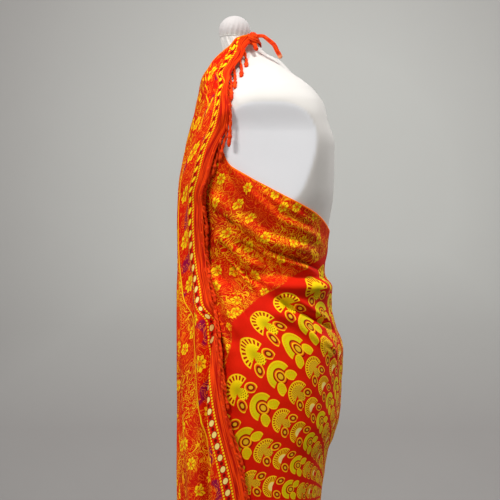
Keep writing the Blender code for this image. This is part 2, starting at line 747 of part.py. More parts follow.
def ribbon_beside(grid, first, last):
    """Cuts along a panel's fringed edge: each tassel's two root points, and the ways along and out."""
    rows = np.arange(len(grid))
    down = np.linspace(first, last, EDGE_STEPS) * rows[-1]
    edge = np.stack([np.interp(down, rows, grid[:, -1, k]) for k in range(3)], axis=1)
    inside = np.stack([np.interp(down, rows, grid[:, -2, k]) for k in range(3)], axis=1)
    walked = np.concatenate([[0], np.cumsum(np.linalg.norm(np.diff(edge, axis=0), axis=1))])
    count = int(walked[-1] // TASSEL_SPACING)
    middle = (np.arange(count) + 0.5) * TASSEL_SPACING
    cuts = np.stack([middle - TASSEL_ROOT / 2, middle + TASSEL_ROOT / 2], axis=1).ravel()
    start = np.stack([np.interp(cuts, walked, edge[:, k]) for k in range(3)], axis=1)
    beside = np.stack([np.interp(cuts, walked, inside[:, k]) for k in range(3)], axis=1)
    along = unit(np.gradient(start, axis=0))
    out = unit(start - beside)
    out = unit(out - along * (out * along).sum(axis=1, keepdims=True))
    return start, along, out


def tassel_headings(along, out, random):
    """The way each tassel hangs: down, and further out where the edge itself runs upright."""
    upright = smooth_step(np.abs(along[:, 2:]), UPRIGHT_FROM, UPRIGHT_AT)
    slant = TASSEL_SLANT + (TASSEL_SLANT_AT_UPRIGHT_EDGE - TASSEL_SLANT) * upright
    level_out = unit(out * (1, 1, 0))
    sway = random.uniform(-TASSEL_SWAY, TASSEL_SWAY, (len(out), 1))
    return unit(level_out * (slant + sway) + np.array([0, 0, -1.0]))


def tassel_rings(root, heading, along, face, reach):
    """Two square rings of each tassel, at its bend and at its tip."""
    across = unit(along - heading * (along * heading).sum(axis=1, keepdims=True))
    through = np.cross(heading, across)
    through = through * np.sign((through * face).sum(axis=1, keepdims=True))
    rings = []
    for share, width in ((TASSEL_BEND_AT, 1.0), (1.0, TASSEL_TIP_SHARE)):
        centre = push_clear(root + heading * (reach * share)[:, None], TASSEL_THICKNESS)
        half = TASSEL_THICKNESS * width / 2
        corners = [
            centre - across * half - through * half,
            centre - across * half + through * half,
            centre + across * half + through * half,
            centre + across * half - through * half,
        ]
        rings.append(np.stack(corners, axis=1))
    return np.stack(rings, axis=1)


def build_fringe(collection, name, grid, first, last):
    """A narrow tape beside a panel's last column of points, with a tassel at every spacing."""
    start, along, out = ribbon_beside(grid, first, last)
    face = np.cross(along, out)
    face = face * np.sign((face * start * (1, 1, 0)).sum(axis=1, keepdims=True))
    near = push_clear(start + out * TAPE_GAP, TAPE_CLEARANCE)
    far = push_clear(start + out * (TAPE_GAP + TAPE_WIDTH), TAPE_CLEARANCE)
    tape = np.stack([near, far, far + face * CLOTH_WALL, near + face * CLOTH_WALL], axis=1)
    faces = []
    for ring in range(len(tape) - 1):
        for side in range(4):
            after = (side + 1) % 4
            quad = [ring * 4 + side, ring * 4 + after, ring * 4 + after + 4, ring * 4 + side + 4]
            rooted = side == 1 and ring % 2 == 0
            if not rooted:
                faces.append(quad)
    faces.append([0, 3, 2, 1])
    faces.append([len(tape) * 4 - step for step in (4, 3, 2, 1)])
    random = np.random.default_rng(TASSEL_SEED)
    count = len(tape) // 2
    heading = tassel_headings(along[0::2], (out[0::2] + out[1::2]) / 2, random)
    reach = TASSEL_LENGTH * random.uniform(*TASSEL_LENGTH_SPREAD, count)
    root = (tape[0::2, 1:3].sum(axis=1) + tape[1::2, 1:3].sum(axis=1)) / 4
    strands = tassel_rings(root, heading, along[0::2], face[0::2], reach)
    offset = len(tape) * 4
    for k in range(count):
        upper = [8 * k + 1, 8 * k + 2, 8 * k + 6, 8 * k + 5]
        for level in range(strands.shape[1]):
            lower = [offset, offset + 1, offset + 2, offset + 3]
            offset += 4
            for side in range(4):
                after = (side + 1) % 4
                faces.append([upper[side], upper[after], lower[after], lower[side]])
            upper = lower
        faces.append(upper)
    points = np.concatenate([tape.reshape(-1, 3), strands.reshape(-1, 3)])
    mesh = bpy.data.meshes.new(name)
    mesh.from_pydata(points.tolist(), [], faces)
    shape = bmesh.new()
    shape.from_mesh(mesh)
    bmesh.ops.recalc_face_normals(shape, faces=shape.faces)
    shape.to_mesh(mesh)
    shape.free()
    return add_object(collection, name, mesh, "plain_fringe", 40)


def build_knot(collection):
    """The tied knot: a round body with two crossing grooves, where one end wraps the other."""
    shape = bmesh.new()
    bmesh.ops.create_uvsphere(shape, u_segments=14, v_segments=8, radius=0.5)
    for vertex in shape.verts:
        x, y, z = vertex.co * 2
        rising = KNOT_RISING_GROOVE * math.exp(-(((z - 0.55 * y) / 0.16) ** 2))
        falling = KNOT_FALLING_GROOVE * math.exp(-(((z + 0.70 * y - 0.2) / 0.14) ** 2))
        groove = 1 - rising - falling
        vertex.co = (
            KNOT_CENTRE[0] + KNOT_SIZE[0] / 2 * x * groove,
            KNOT_CENTRE[1] + KNOT_SIZE[1] / 2 * y * groove,
            KNOT_CENTRE[2] + KNOT_SIZE[2] / 2 * z * groove,
        )
    mesh = bpy.data.meshes.new("neck_knot")
    shape.to_mesh(mesh)
    shape.free()
    return add_object(collection, "neck_knot", mesh, "plain_fringe", 80)


def build_tail(collection, name, route):
    """A rolled corner of the cloth that leaves the knot."""
    curve = bpy.data.curves.new(name, "CURVE")
    curve.dimensions = "3D"
    curve.bevel_depth = TAIL_RADIUS
    curve.bevel_resolution = 1
    curve.resolution_u = 3
    curve.use_fill_caps = True
    spline = curve.splines.new("NURBS")
    spline.points.add(len(route) - 1)
    for place, point in zip(spline.points, route):
        place.co = (*point, 1)
    spline.order_u = 3
    spline.use_endpoint_u = True
    curve.materials.append(finish_material(name, "plain_fringe"))
    part = bpy.data.objects.new(name, curve)
    collection.objects.link(part)
    return part


for old in list(bpy.data.objects):
    bpy.data.objects.remove(old)
PARTS = add_collection(COLLECTION_NAME)
build_torso(PARTS)
build_cap(PARTS)
build_stand(PARTS)
build_wrap(PARTS)
build_panels(PARTS)
build_fringe(
    PARTS, "over_panel_fringe", panel_grid(over_point, OVER_GRID), OVER_FRINGE_FROM, OVER_FRINGE_TO
)
build_fringe(
    PARTS, "under_panel_fringe", panel_grid(under_point, UNDER_GRID), UNDER_FRINGE_FROM, UNDER_FRINGE_TO
)
build_knot(PARTS)
build_tail(PARTS, "knot_tail_long", LONG_TAIL)
build_tail(PARTS, "knot_tail_short", SHORT_TAIL)
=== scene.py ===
"""A printed, fringed sarong tied as a crossed halter dress on a limbless dress form.

Metres, +Z up, the floor at z = 0. The form faces -Y and its left side is +X.
Angles round the body are in degrees from the centre back (+Y) towards the left side (+X).
"""

import math

import bpy
import numpy as np
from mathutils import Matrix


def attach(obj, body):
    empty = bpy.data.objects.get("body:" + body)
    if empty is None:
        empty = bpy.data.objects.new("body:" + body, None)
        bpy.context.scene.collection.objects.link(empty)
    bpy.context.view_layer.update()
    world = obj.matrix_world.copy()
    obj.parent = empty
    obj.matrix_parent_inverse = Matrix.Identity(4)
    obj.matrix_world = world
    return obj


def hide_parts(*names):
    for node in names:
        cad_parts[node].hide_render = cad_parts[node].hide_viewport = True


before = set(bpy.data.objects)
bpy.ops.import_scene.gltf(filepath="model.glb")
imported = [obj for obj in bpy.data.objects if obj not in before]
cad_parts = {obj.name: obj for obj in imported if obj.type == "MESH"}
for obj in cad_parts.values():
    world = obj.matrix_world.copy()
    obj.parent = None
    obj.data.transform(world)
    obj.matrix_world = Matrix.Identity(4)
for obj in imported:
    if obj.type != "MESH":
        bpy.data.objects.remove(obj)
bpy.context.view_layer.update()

# ---- Studio ----
# A sheet of pale grey backdrop paper runs down the wall and out over the floor, coloured darker low down and
# away from the middle as painted shade.
# Large soft lamps stand before, above and behind the form; the camera is level with its waist.

AIM = (0.0, -0.0385, 1.2105)
CAMERA_TURN = 91.0
CAMERA_DISTANCE = 2.6
PICTURE_WIDTH = 0.875
SENSOR = 36.0
PAPER_WIDTH = 14.0
PAPER_WALL = -3.4
PAPER_HEIGHT = 5.0
PAPER_BEND = 0.9
PAPER_REACH = 9.0


class Value:
    """A number that varies over a surface. + - * / and the methods below each add one Math node."""

    def __init__(self, finish, socket):
        self.finish = finish
        self.socket = socket

    def math(self, operation, *others, clamp=False):
        values = dict(enumerate((self, *others)))
        made = self.finish.node("ShaderNodeMath", {"operation": operation, "use_clamp": clamp}, values)
        return Value(self.finish, made.outputs[0])

    def __add__(self, other):
        return self.math("ADD", other)

    __radd__ = __add__

    def __sub__(self, other):
        return self.math("SUBTRACT", other)

    def __rsub__(self, other):
        return self.math("MULTIPLY_ADD", -1.0, other)

    def __mul__(self, other):
        return self.math("MULTIPLY", other)

    __rmul__ = __mul__

    def __truediv__(self, other):
        return self.math("DIVIDE", other)

    def __abs__(self):
        return self.math("ABSOLUTE")

    def below(self, limit, soft):
        """1 below the limit and 0 above it: (limit - value) / soft + 1/2, held between 0 and 1."""
        return self.math("MULTIPLY_ADD", -1 / soft, limit / soft + 0.5, clamp=True)

    def above(self, limit, soft):
        """0 below the limit and 1 above it: (value - limit) / soft + 1/2, held between 0 and 1."""
        return self.math("MULTIPLY_ADD", 1 / soft, 0.5 - limit / soft, clamp=True)

    def within(self, low, high, soft):
        """1 between two limits."""
        return self.above(low, soft) * self.below(high, soft)

    def near(self, middle, half_width, soft):
        """1 where the value lies within half_width of the middle."""
        return abs(self - middle).below(half_width, soft)

    def repeat(self, pitch):
        """How far the value is past the middle of its repeat: (fraction of value / pitch - 1/2) * pitch."""
        return ((self / pitch).math("FRACT") - 0.5) * pitch

    def wave(self, length):
        """The sine of the value, with the given length of a wave."""
        return (self * (2 * math.pi / length)).math("SINE")


def longest(a, b):
    """sqrt(a^2 + b^2) of two values."""
    return (a * a + b * b).math("SQRT")


class Finish:
    """A material whose numbers that are the same all over sit on the shader's own sockets."""

    def __init__(self, name, **constants):
        self.material = bpy.data.materials.new(name)
        self.material.use_nodes = True
        self.tree = self.material.node_tree
        self.shader = self.tree.nodes["Principled BSDF"]
        for socket, value in constants.items():
            self.shader.inputs[socket.replace("_", " ")].default_value = value

    def node(self, kind, settings=None, inputs=None):
        """One node: its settings are set first, then the values or links of its sockets."""
        made = self.tree.nodes.new(kind)
        for name, value in (settings or {}).items():
            setattr(made, name, value)
        for name, value in (inputs or {}).items():
            value = value.socket if isinstance(value, Value) else value
            if isinstance(value, bpy.types.NodeSocket):
                self.tree.links.new(value, made.inputs[name])
            else:
                made.inputs[name].default_value = value
        return made

    def value(self, node, output=0):
        return Value(self, node.outputs[output])

    def mix(self, mask, below, above):
        """A colour between two, by a mask."""
        settings = {"data_type": "RGBA"}
        sides = {6: colour_of(below), 7: colour_of(above)}
        return self.node("ShaderNodeMix", settings, {0: mask, **sides}).outputs[2]

    def layers(self, colour, *coats):
        """Coats laid one over another, each a mask and a colour."""
        for mask, coat in coats:
            colour = self.mix(mask, colour, coat)
        return colour

    def place(self):
        """Object coordinates, in metres."""
        return self.node("ShaderNodeTexCoord").outputs["Object"]

    def kept(self, name):
        """Numbers kept at the mesh's points."""
        return self.value(self.node("ShaderNodeAttribute", {"attribute_name": name}), 2)

    def parts(self, vector):
        """The three numbers of a vector."""
        split = self.node("ShaderNodeSeparateXYZ", None, {0: vector})
        return [self.value(split, k) for k in range(3)]

    def noise(self, vector, scale, detail=2.0, roughness=0.5, distortion=0.0, kind="3D"):
        """Smooth cloudy noise between 0 and 1."""
        inputs = {
            "Vector": vector, "Scale": scale, "Detail": detail,
            "Roughness": roughness, "Distortion": distortion,
        }
        return self.value(self.node("ShaderNodeTexNoise", {"noise_dimensions": kind}, inputs))

    def bump(self, height, distance, strength=1.0):
        """A normal tilted by a height."""
        inputs = {"Height": height, "Distance": distance, "Strength": strength}
        return self.node("ShaderNodeBump", None, inputs).outputs[0]

    def wear(self, colour=None, roughness=None, normal=None):
        """The varying colour, roughness and normal of the surface."""
        for socket, value in (("Base Color", colour), ("Roughness", roughness), ("Normal", normal)):
            if value is not None:
                source = value.socket if isinstance(value, Value) else value
                self.tree.links.new(source, self.shader.inputs[socket])
        return self.material


def colour_of(colour):
    """A colour socket as it is, or three sRGB numbers of 0 to 255 as a linear colour."""
    if isinstance(colour, bpy.types.NodeSocket):
        return colour
    return (*srgb(*colour), 1.0)


def srgb(red, green, blue):
    """A screen colour made linear: ((c + 0.055) / 1.055)^2.4 above 0.04045, else c / 12.92."""
    values = (np.array([red, green, blue]) / 255.0).tolist()
    return [((c + 0.055) / 1.055) ** 2.4 if c > 0.04045 else c / 12.92 for c in values]


def grid_faces(rows, columns, closed_round=False):
    """Quads over a grid of points numbered row by row."""
    last = columns if closed_round else columns - 1
    row, place = np.meshgrid(np.arange(rows - 1), np.arange(last), indexing="ij")
    row, place = row.ravel(), place.ravel()
    after = (place + 1) % columns
    low, high = row * columns, (row + 1) * columns
    return np.stack([low + place, low + after, high + after, high + place], axis=1)


def add_mesh(name, points, faces, finish):
    """A smooth-shaded mesh from arrays of points and faces, with one material."""
    mesh = bpy.data.meshes.new(name)
    mesh.from_pydata(points.tolist(), [], [list(face) for face in faces])
    mesh.update()
    mesh.shade_smooth()
    mesh.materials.append(finish)
    made = bpy.data.objects.new(name, mesh)
    bpy.context.scene.collection.objects.link(made)
    return made


def backdrop_sheet():
    """The paper's line: along the floor, round a quarter circle, up the wall; carried along y."""
    turn = np.linspace(0, math.pi / 2, 16)
    x = np.concatenate([[PAPER_REACH], PAPER_WALL + PAPER_BEND * (1 - np.sin(turn)), [PAPER_WALL]])
    z = np.concatenate([[0.0], PAPER_BEND * (1 - np.cos(turn)), [PAPER_HEIGHT]])
    y = np.linspace(-PAPER_WIDTH / 2, PAPER_WIDTH / 2, 3) + 0 * x[:, None]
    return np.stack([x[:, None] + 0 * y, y, z[:, None] + 0 * y], axis=-1)


paper_finish = Finish("backdrop_paper", Roughness=0.9)
paper_place = paper_finish.place()
_, paper_y, paper_z = paper_finish.parts(paper_place)
paper_tone = paper_finish.noise(paper_place, 3.0, 3.0)
paper_away = longest(paper_y - 0.12, paper_z - 1.45)
# Painted shade: the paper turns darker towards the floor and away from the middle behind the form.
paper_painted_shade = paper_z.below(0.85, 0.7).math("MAXIMUM", paper_away.above(1.15, 1.1)) * 0.9 + paper_tone * 0.1
paper_colour = paper_finish.mix(paper_painted_shade, (193, 193, 188), (158, 154, 151))
paper_points = backdrop_sheet()
paper_faces = grid_faces(*paper_points.shape[:2])[:, ::-1]
paper = add_mesh("backdrop_paper", paper_points.reshape(-1, 3), paper_faces, paper_finish.wear(paper_colour))


def add_lamp(name, place, target, size, watts):
    """A square soft lamp that faces a point."""
    lamp = bpy.data.lights.new(name, "AREA")
    lamp.size = size
    lamp.energy = watts
    made = bpy.data.objects.new(name, lamp)
    made.location = place
    toward = np.array(target) - np.array(place)
    made.rotation_euler = (
        math.atan2(math.hypot(toward[0], toward[1]), -toward[2]),
        0.0,
        math.atan2(toward[1], toward[0]) - math.pi / 2,
    )
    bpy.context.scene.collection.objects.link(made)


add_lamp("top_lamp", (1.0, 0.5, 3.6), (0.0, -0.02, 1.30), 0.5, 52.0)
add_lamp("front_lamp", (0.5, -3.0, 2.3), (0.0, 0.0, 1.3), 1.0, 34.0)
add_lamp("side_lamp", (1.5, -1.0, 2.35), (0.1, 0.0, 1.48), 0.4, 20.0)
add_lamp("wall_lamp", (-1.0, 0.0, 2.4), (-3.4, 0.0, 1.5), 1.2, 26.0)
add_lamp("back_lamp", (-1.6, 2.8, 2.4), (0.0, 0.0, 1.2), 1.5, 34.0)

studio = bpy.data.worlds.new("studio")
studio.use_nodes = True
studio.node_tree.nodes["Background"].inputs["Color"].default_value = (0.80, 0.81, 0.83, 1)
studio.node_tree.nodes["Background"].inputs["Strength"].default_value = 0.30
bpy.context.scene.world = studio
bpy.context.scene.view_settings.view_transform = "Standard"

lens = bpy.data.cameras.new("camera")
lens.sensor_width = SENSOR
lens.lens = SENSOR * CAMERA_DISTANCE / PICTURE_WIDTH
camera = bpy.data.objects.new("camera", lens)
turn = math.radians(CAMERA_TURN)
camera.location = (
    AIM[0] + math.sin(turn) * CAMERA_DISTANCE,
    AIM[1] - math.cos(turn) * CAMERA_DISTANCE,
    AIM[2],
)
camera.rotation_euler = (math.pi / 2, 0.0, turn)
bpy.context.scene.collection.objects.link(camera)
bpy.context.scene.camera = camera

# ---- Dress form ----
# A moulded hard form without limbs, its arms cut off flat, under a tight cover of off-white jersey.
# The cover is gathered under a round neck cap and sewn from the neck down both shoulders.

FORM_BOTTOM = 0.875
NECK_TOP = 1.583
CAP_TOP = 1.620
CAP_CENTRE_Y = -0.0655
CAP_RADIUS = 0.0275
CENTRE_LINE = (
    ("height", "centre_y"),
    (0.000, 0.000),
    (1.400, 0.000),
    (1.440, -0.004),
    (1.480, -0.012),
    (1.520, -0.028),
    (1.545, -0.045),
    (1.560, -0.052),
    (1.600, -0.066),
    (1.700, -0.066),
)
FORM_SECTIONS = (
    ("height", "half_width", "front", "back", "squareness"),
    (0.875, 0.148, 0.076, 0.090, 2.2),
    (0.890, 0.160, 0.085, 0.101, 2.2),
    (0.950, 0.172, 0.095, 0.114, 2.3),
    (1.020, 0.170, 0.103, 0.116, 2.3),
    (1.080, 0.151, 0.104, 0.104, 2.2),
    (1.170, 0.121, 0.096, 0.087, 2.2),
    (1.250, 0.140, 0.120, 0.098, 2.5),
    (1.316, 0.156, 0.144, 0.107, 2.9),
    (1.386, 0.163, 0.125, 0.108, 3.6),
    (1.431, 0.165, 0.106, 0.099, 3.8),
    (1.459, 0.160, 0.092, 0.097, 3.4),
    (1.484, 0.144, 0.077, 0.088, 2.8),
    (1.502, 0.117, 0.066, 0.076, 2.4),
    (1.520, 0.083, 0.054, 0.062, 2.2),
    (1.541, 0.047, 0.040, 0.058, 2.1),
    (1.552, 0.038, 0.036, 0.042, 2.0),
    (1.562, 0.035, 0.034, 0.035, 2.0),
    (1.583, 0.030, 0.029, 0.030, 2.0),
)
ARM_CUT = (
    ("height", "plane_x"),
    (1.180, 0.200),
    (1.250, 0.152),
    (1.300, 0.148),
    (1.405, 0.150),
    (1.452, 0.1605),
    (1.500, 0.175),
    (1.540, 0.200),
)
SHOULDER_SEAM = ((-0.0300, 1.5690), (-0.0228, 1.5640), (-0.0050, 1.5605), (0.0088, 1.5410), (0.0210, 1.5238))
SEAM_HALF_WIDTH = 0.0022
SEAM_DEPTH = 0.0011


def named(table, name):
    """One column of a table whose first row names its columns."""
    place = table[0].index(name)
    return np.array([row[place] for row in table[1:]])


def smooth_through(keys, values, at):
    """A cubic through (keys, values); the slope at a key is the harmonic mean of its neighbours'."""
    step = np.diff(keys)
    rise = np.diff(values) / step
    slope = np.zeros(len(values))
    product = rise[:-1] * rise[1:]
    total = rise[:-1] + rise[1:]
    slope[1:-1] = np.where(product > 0, 2 * product / np.where(product > 0, total, 1), 0)
    slope[0] = rise[0]
    slope[-1] = rise[-1]
    at = np.clip(at, keys[0], keys[-1])
    left = np.clip(np.searchsorted(keys, at, side="right") - 1, 0, len(keys) - 2)
    t = (at - keys[left]) / step[left]
    start = (1 + 2 * t) * (1 - t) ** 2 * values[left] + t * (1 - t) ** 2 * step[left] * slope[left]
    end = t**2 * (3 - 2 * t) * values[left + 1] - t**2 * (1 - t) * step[left] * slope[left + 1]
    return start + end


def sized(table, name, z):
    """A named column of a table, read at any height."""
    return smooth_through(named(table, table[0][0]), named(table, name), z)


def smooth_step(value, low, high):
    """0 below low, 1 above high and t^2 (3 - 2t) between them."""
    t = np.clip((value - low) / (high - low), 0, 1)
    return t * t * (3 - 2 * t)


def smooth_max(a, b, width):
    """The larger of two values, rounded where they meet: (a + b + sqrt((a - b)^2 + width^2)) / 2."""
    return (a + b + np.sqrt((a - b) ** 2 + width**2)) / 2


def section_radius(angle, half_width, front, back, squareness):
    """The radius of a superellipse: |sin a / width|^n + |cos a / depth|^n = 1 / r^n."""
    sine = np.abs(np.sin(np.radians(angle)))
    cosine = np.cos(np.radians(angle))
    depth = np.where(cosine > 0, back, front)
    across = (sine / half_width) ** squareness
    through = (np.abs(cosine) / depth) ** squareness
    return (across + through) ** (-1 / squareness)


def uncut_radius(angle, z):
    """The form's radius before its arms are cut off."""
    names = ("half_width", "front", "back", "squareness")
    return section_radius(angle, *(sized(FORM_SECTIONS, name, z) for name in names))


def arm_plane_radius(angle, z):
    """How far out the flat arm cut lies: plane_x / |sin a|."""
    return sized(ARM_CUT, "plane_x", z) / np.maximum(np.abs(np.sin(np.radians(angle))), 0.05)


def form_radius(angle, z):
    """The hard form's radius: the smaller of the round form and the arm cut."""
    return -smooth_max(-uncut_radius(angle, z), -arm_plane_radius(angle, z), 0.002)


def centre_y(z):
    """The y of the sections' centre at a height."""
    return sized(CENTRE_LINE, "centre_y", z)


def on_body(angle, z, radius):
    """Points at an angle round the sections' centre."""
    x = radius * np.sin(np.radians(angle))
    y = centre_y(z) + radius * np.cos(np.radians(angle))
    return np.stack([x, y, z + np.zeros(np.shape(x))], axis=-1)


def distance_to_line(a, b, line):
    """The distance in a plane to a line through points, and the share of its length gone by there."""
    lengths = [math.dist(p, q) for p, q in zip(line[:-1], line[1:])]
    nearest = np.full(np.shape(a), 1e9)
    place = np.zeros(np.shape(a))
    done = 0.0
    for (a1, b1), (a2, b2), length in zip(line[:-1], line[1:], lengths):
        t = np.clip(((a - a1) * (a2 - a1) + (b - b1) * (b2 - b1)) / length**2, 0, 1)
        distance = np.hypot(a - a1 - t * (a2 - a1), b - b1 - t * (b2 - b1))
        nearer = distance < nearest
        nearest = np.where(nearer, distance, nearest)
        place = np.where(nearer, (done + t * length) / sum(lengths), place)
        done += length
    return nearest, place


def form_cover():
    """The jersey cover from the hips to the cap, and how much of each point lies on the arm cut."""
    heights = np.concatenate([np.linspace(FORM_BOTTOM, 1.24, 50), np.linspace(1.244, NECK_TOP, 110)])
    angle, z = np.meshgrid(np.arange(240) * 1.5, heights)
    radius = form_radius(angle, z)
    gathers = 0.0009 * np.sin(np.radians(angle) * 17 + (1.60 - z) * 46) + 0.0006 * np.sin(
        np.radians(angle) * 29 - (1.60 - z) * 60 + 1.3
    )
    radius = radius + (gathers - 0.0008) * smooth_step(z, 1.548, 1.574)
    points = on_body(angle, z, radius)
    seam, _ = distance_to_line(points[..., 1], points[..., 2], SHOULDER_SEAM)
    groove = np.exp(-((seam / SEAM_HALF_WIDTH) ** 2)) * (np.abs(points[..., 0]) > 0.004)
    points = on_body(angle, z, radius - SEAM_DEPTH * groove)
    cut = smooth_step(uncut_radius(angle, z) - arm_plane_radius(angle, z), -0.0015, 0.0015)
    return points, cut, groove


def add_values(piece, **values):
    """Numbers kept at a mesh's points for its material to read."""
    for name, numbers in values.items():
        layer = piece.data.attributes.new(name, "FLOAT", "POINT")
        layer.data.foreach_set("value", np.ascontiguousarray(numbers, np.float32).ravel())


def closed_ends(faces, rows, columns):
    """A tube's faces with a fan cap at each end; the caps' middles are the last two points."""
    low = [[rows * columns, (k + 1) % columns, k] for k in range(columns)]
    top = (rows - 1) * columns
    high = [[rows * columns + 1, top + k, top + (k + 1) % columns] for k in range(columns)]
    return [*faces.tolist(), *low, *high]


def add_closed(name, grid, ends, finish, **values):
    """A piece from rings of points, closed by a fan cap about each end point, with values at its points."""
    rows, columns = grid.shape[:2]
    faces = closed_ends(grid_faces(rows, columns, True)[:, ::-1], rows, columns)
    piece = add_mesh(name, np.concatenate([grid.reshape(-1, 3), ends]), faces, finish)
    add_values(piece, **{key: np.append(numbers, [0, 0]) for key, numbers in values.items()})
    return piece


jersey = Finish("form_jersey", Roughness=0.85, Sheen_Weight=0.25, Sheen_Roughness=0.5)
jersey_place = jersey.place()
knit_inputs = {"Vector": jersey_place, "Scale": 190.0, "Distortion": 1.2}
knit = jersey.value(jersey.node("ShaderNodeTexWave", {"bands_direction": "Z"}, knit_inputs))
jersey_cloud = jersey.noise(jersey_place, 14.0, 3.0)
_, _, jersey_height = jersey.parts(jersey_place)
jersey_colour = jersey.layers(
    jersey.mix(jersey_cloud, (216, 211, 204), (224, 219, 212)),
    # Painted light: the flat arm cut is coloured lighter than the rest of the cover.
    (jersey.kept("arm_cut") * 0.9, (238, 238, 240)),
    (jersey.kept("seam") * 0.55, (188, 187, 182)),
    # Painted shade: the neck cap, above 1.588 m, is coloured a darker grey-pink than the cover.
    (jersey_height.above(1.588, 0.008) * 0.9, (196, 189, 186)),
)
jersey_relief = jersey.bump(knit + jersey_cloud * 1.5, 0.0004, 0.6)
jersey.wear(jersey_colour, 0.78 + jersey_cloud * 0.14, jersey_relief)

cover_points, cover_cut, cover_seam = form_cover()
cover_ends = np.array([[0.0, 0.0, FORM_BOTTOM], [0.0, centre_y(NECK_TOP), NECK_TOP]])
form_torso = add_closed(
    "jersey_cover", cover_points, cover_ends, jersey.material, arm_cut=cover_cut, seam=cover_seam
)
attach(form_torso, "root")
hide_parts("form_torso")


def neck_cap():
    """The dome in rings: radius R cos t at height bottom + rise (0.3 + 0.7 sin t), with gathers low down."""
    bottom = NECK_TOP + 0.0003
    rise = CAP_TOP - bottom
    t = np.linspace(-math.asin(0.3 / 0.7), math.pi / 2 - 0.02, 34)[:, None]
    turn = np.radians(np.arange(160) * 2.25)[None, :]
    folds = 1 + 0.016 * np.sin(turn * 19 + 4 * t) * smooth_step(-t, -0.9, 0.1)
    radius = CAP_RADIUS * np.cos(t) * folds
    x = radius * np.sin(turn)
    y = CAP_CENTRE_Y + radius * np.cos(turn)
    z = bottom + rise * (0.3 + 0.7 * np.sin(t)) + 0 * turn
    return np.stack([x, y, z], axis=-1)


cap_points = neck_cap()
cap_ends = np.array([[0.0, CAP_CENTRE_Y, NECK_TOP + 0.0003], [0.0, CAP_CENTRE_Y, CAP_TOP]])
plain = np.zeros(cap_points.shape[:2])
cap = add_closed("jersey_neck_cap", cap_points, cap_ends, jersey.material, arm_cut=plain, seam=plain)
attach(cap, "root")
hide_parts("form_neck_cap")

# ---- Stand ----
# A steel tube set in a turned socket on a round steel plate, stove-painted a satin light grey.
# The plate lies on the floor and the tube runs up into the form.

paint = Finish("stand_paint", Metallic=0.0, Coat_Roughness=0.2)
paint_place = paint.place()
paint_speck = paint.noise(paint_place, 900.0, 2.0)
paint_scuff = paint.noise(paint_place, 38.0, 5.0, 0.65).above(0.63, 0.16)
paint_colour = paint.mix(paint_scuff * 0.5, (204, 204, 202), (176, 176, 173))
paint.wear(paint_colour, 0.34 + paint_scuff * 0.2, paint.bump(paint_speck, 0.00025, 0.35))
for stand_node in ("stand_base", "stand_socket", "stand_pole"):
    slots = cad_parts[stand_node].data.materials
    slots.clear()
    slots.append(paint.material)

# ---- Sarong cloth ----
# One rectangle of thin plain-woven rayon, 1.15 m by 1.75 m, printed in yellow, orange and cream on red.
# It is wound from the back, its ends cross on the chest and tie behind the neck; no part of it is sewn.

CLOTH_HEIGHT = 1.15
HALF_LENGTH = 0.875
CLOTH_WALL = 0.0009
REST_GAP = 0.0022
NECK_REST_GAP = 0.0006
NECK_REST_FROM = 1.535
MIDDLE_HEIGHT = 0.786
FULLNESS = 1.181
GATHERED_ACROSS = 0.011
GATHERED_DOWN = 0.026
DRAPE_SECTIONS = (
    ("height", "half_width", "front", "back"),
    (0.060, 0.166, 0.134, 0.076),
    (0.400, 0.168, 0.138, 0.072),
    (0.600, 0.172, 0.140, 0.074),
    (0.770, 0.177, 0.141, 0.080),
    (0.825, 0.179, 0.142, 0.089),
    (0.865, 0.180, 0.142, 0.096),
    (0.890, 0.181, 0.142, 0.106),
    (0.930, 0.182, 0.142, 0.117),
    (0.980, 0.181, 0.143, 0.120),
    (1.040, 0.173, 0.144, 0.123),
    (1.080, 0.161, 0.145, 0.110),
    (1.115, 0.150, 0.146, 0.103),
    (1.145, 0.140, 0.147, 0.104),
    (1.172, 0.134, 0.147, 0.0905),
    (1.210, 0.137, 0.148, 0.0955),
    (1.270, 0.146, 0.150, 0.1000),
    (1.312, 0.149, 0.149, 0.1070),
    (1.358, 0.150, 0.142, 0.1080),
    (1.407, 0.146, 0.133, 0.1050),
    (1.440, 0.138, 0.121, 0.0980),
    (1.477, 0.122, 0.108, 0.0900),
    (1.505, 0.104, 0.094, 0.0760),
    (1.530, 0.070, 0.070, 0.0600),
    (1.552, 0.046, 0.048, 0.0420),
    (1.575, 0.036, 0.037, 0.0360),
    (1.600, 0.036, 0.037, 0.0360),
)
WRAP_EDGES = (
    ("angle", "top_height", "hem_height"),
    (0.0, 1.238, 0.105),
    (35.0, 1.251, 0.110),
    (62.0, 1.276, 0.121),
    (90.0, 1.312, 0.140),
    (112.0, 1.346, 0.170),
    (116.0, 1.358, 0.182),
    (119.0, 1.384, 0.190),
    (123.0, 1.406, 0.202),
    (133.0, 1.419, 0.235),
    (146.0, 1.425, 0.285),
)
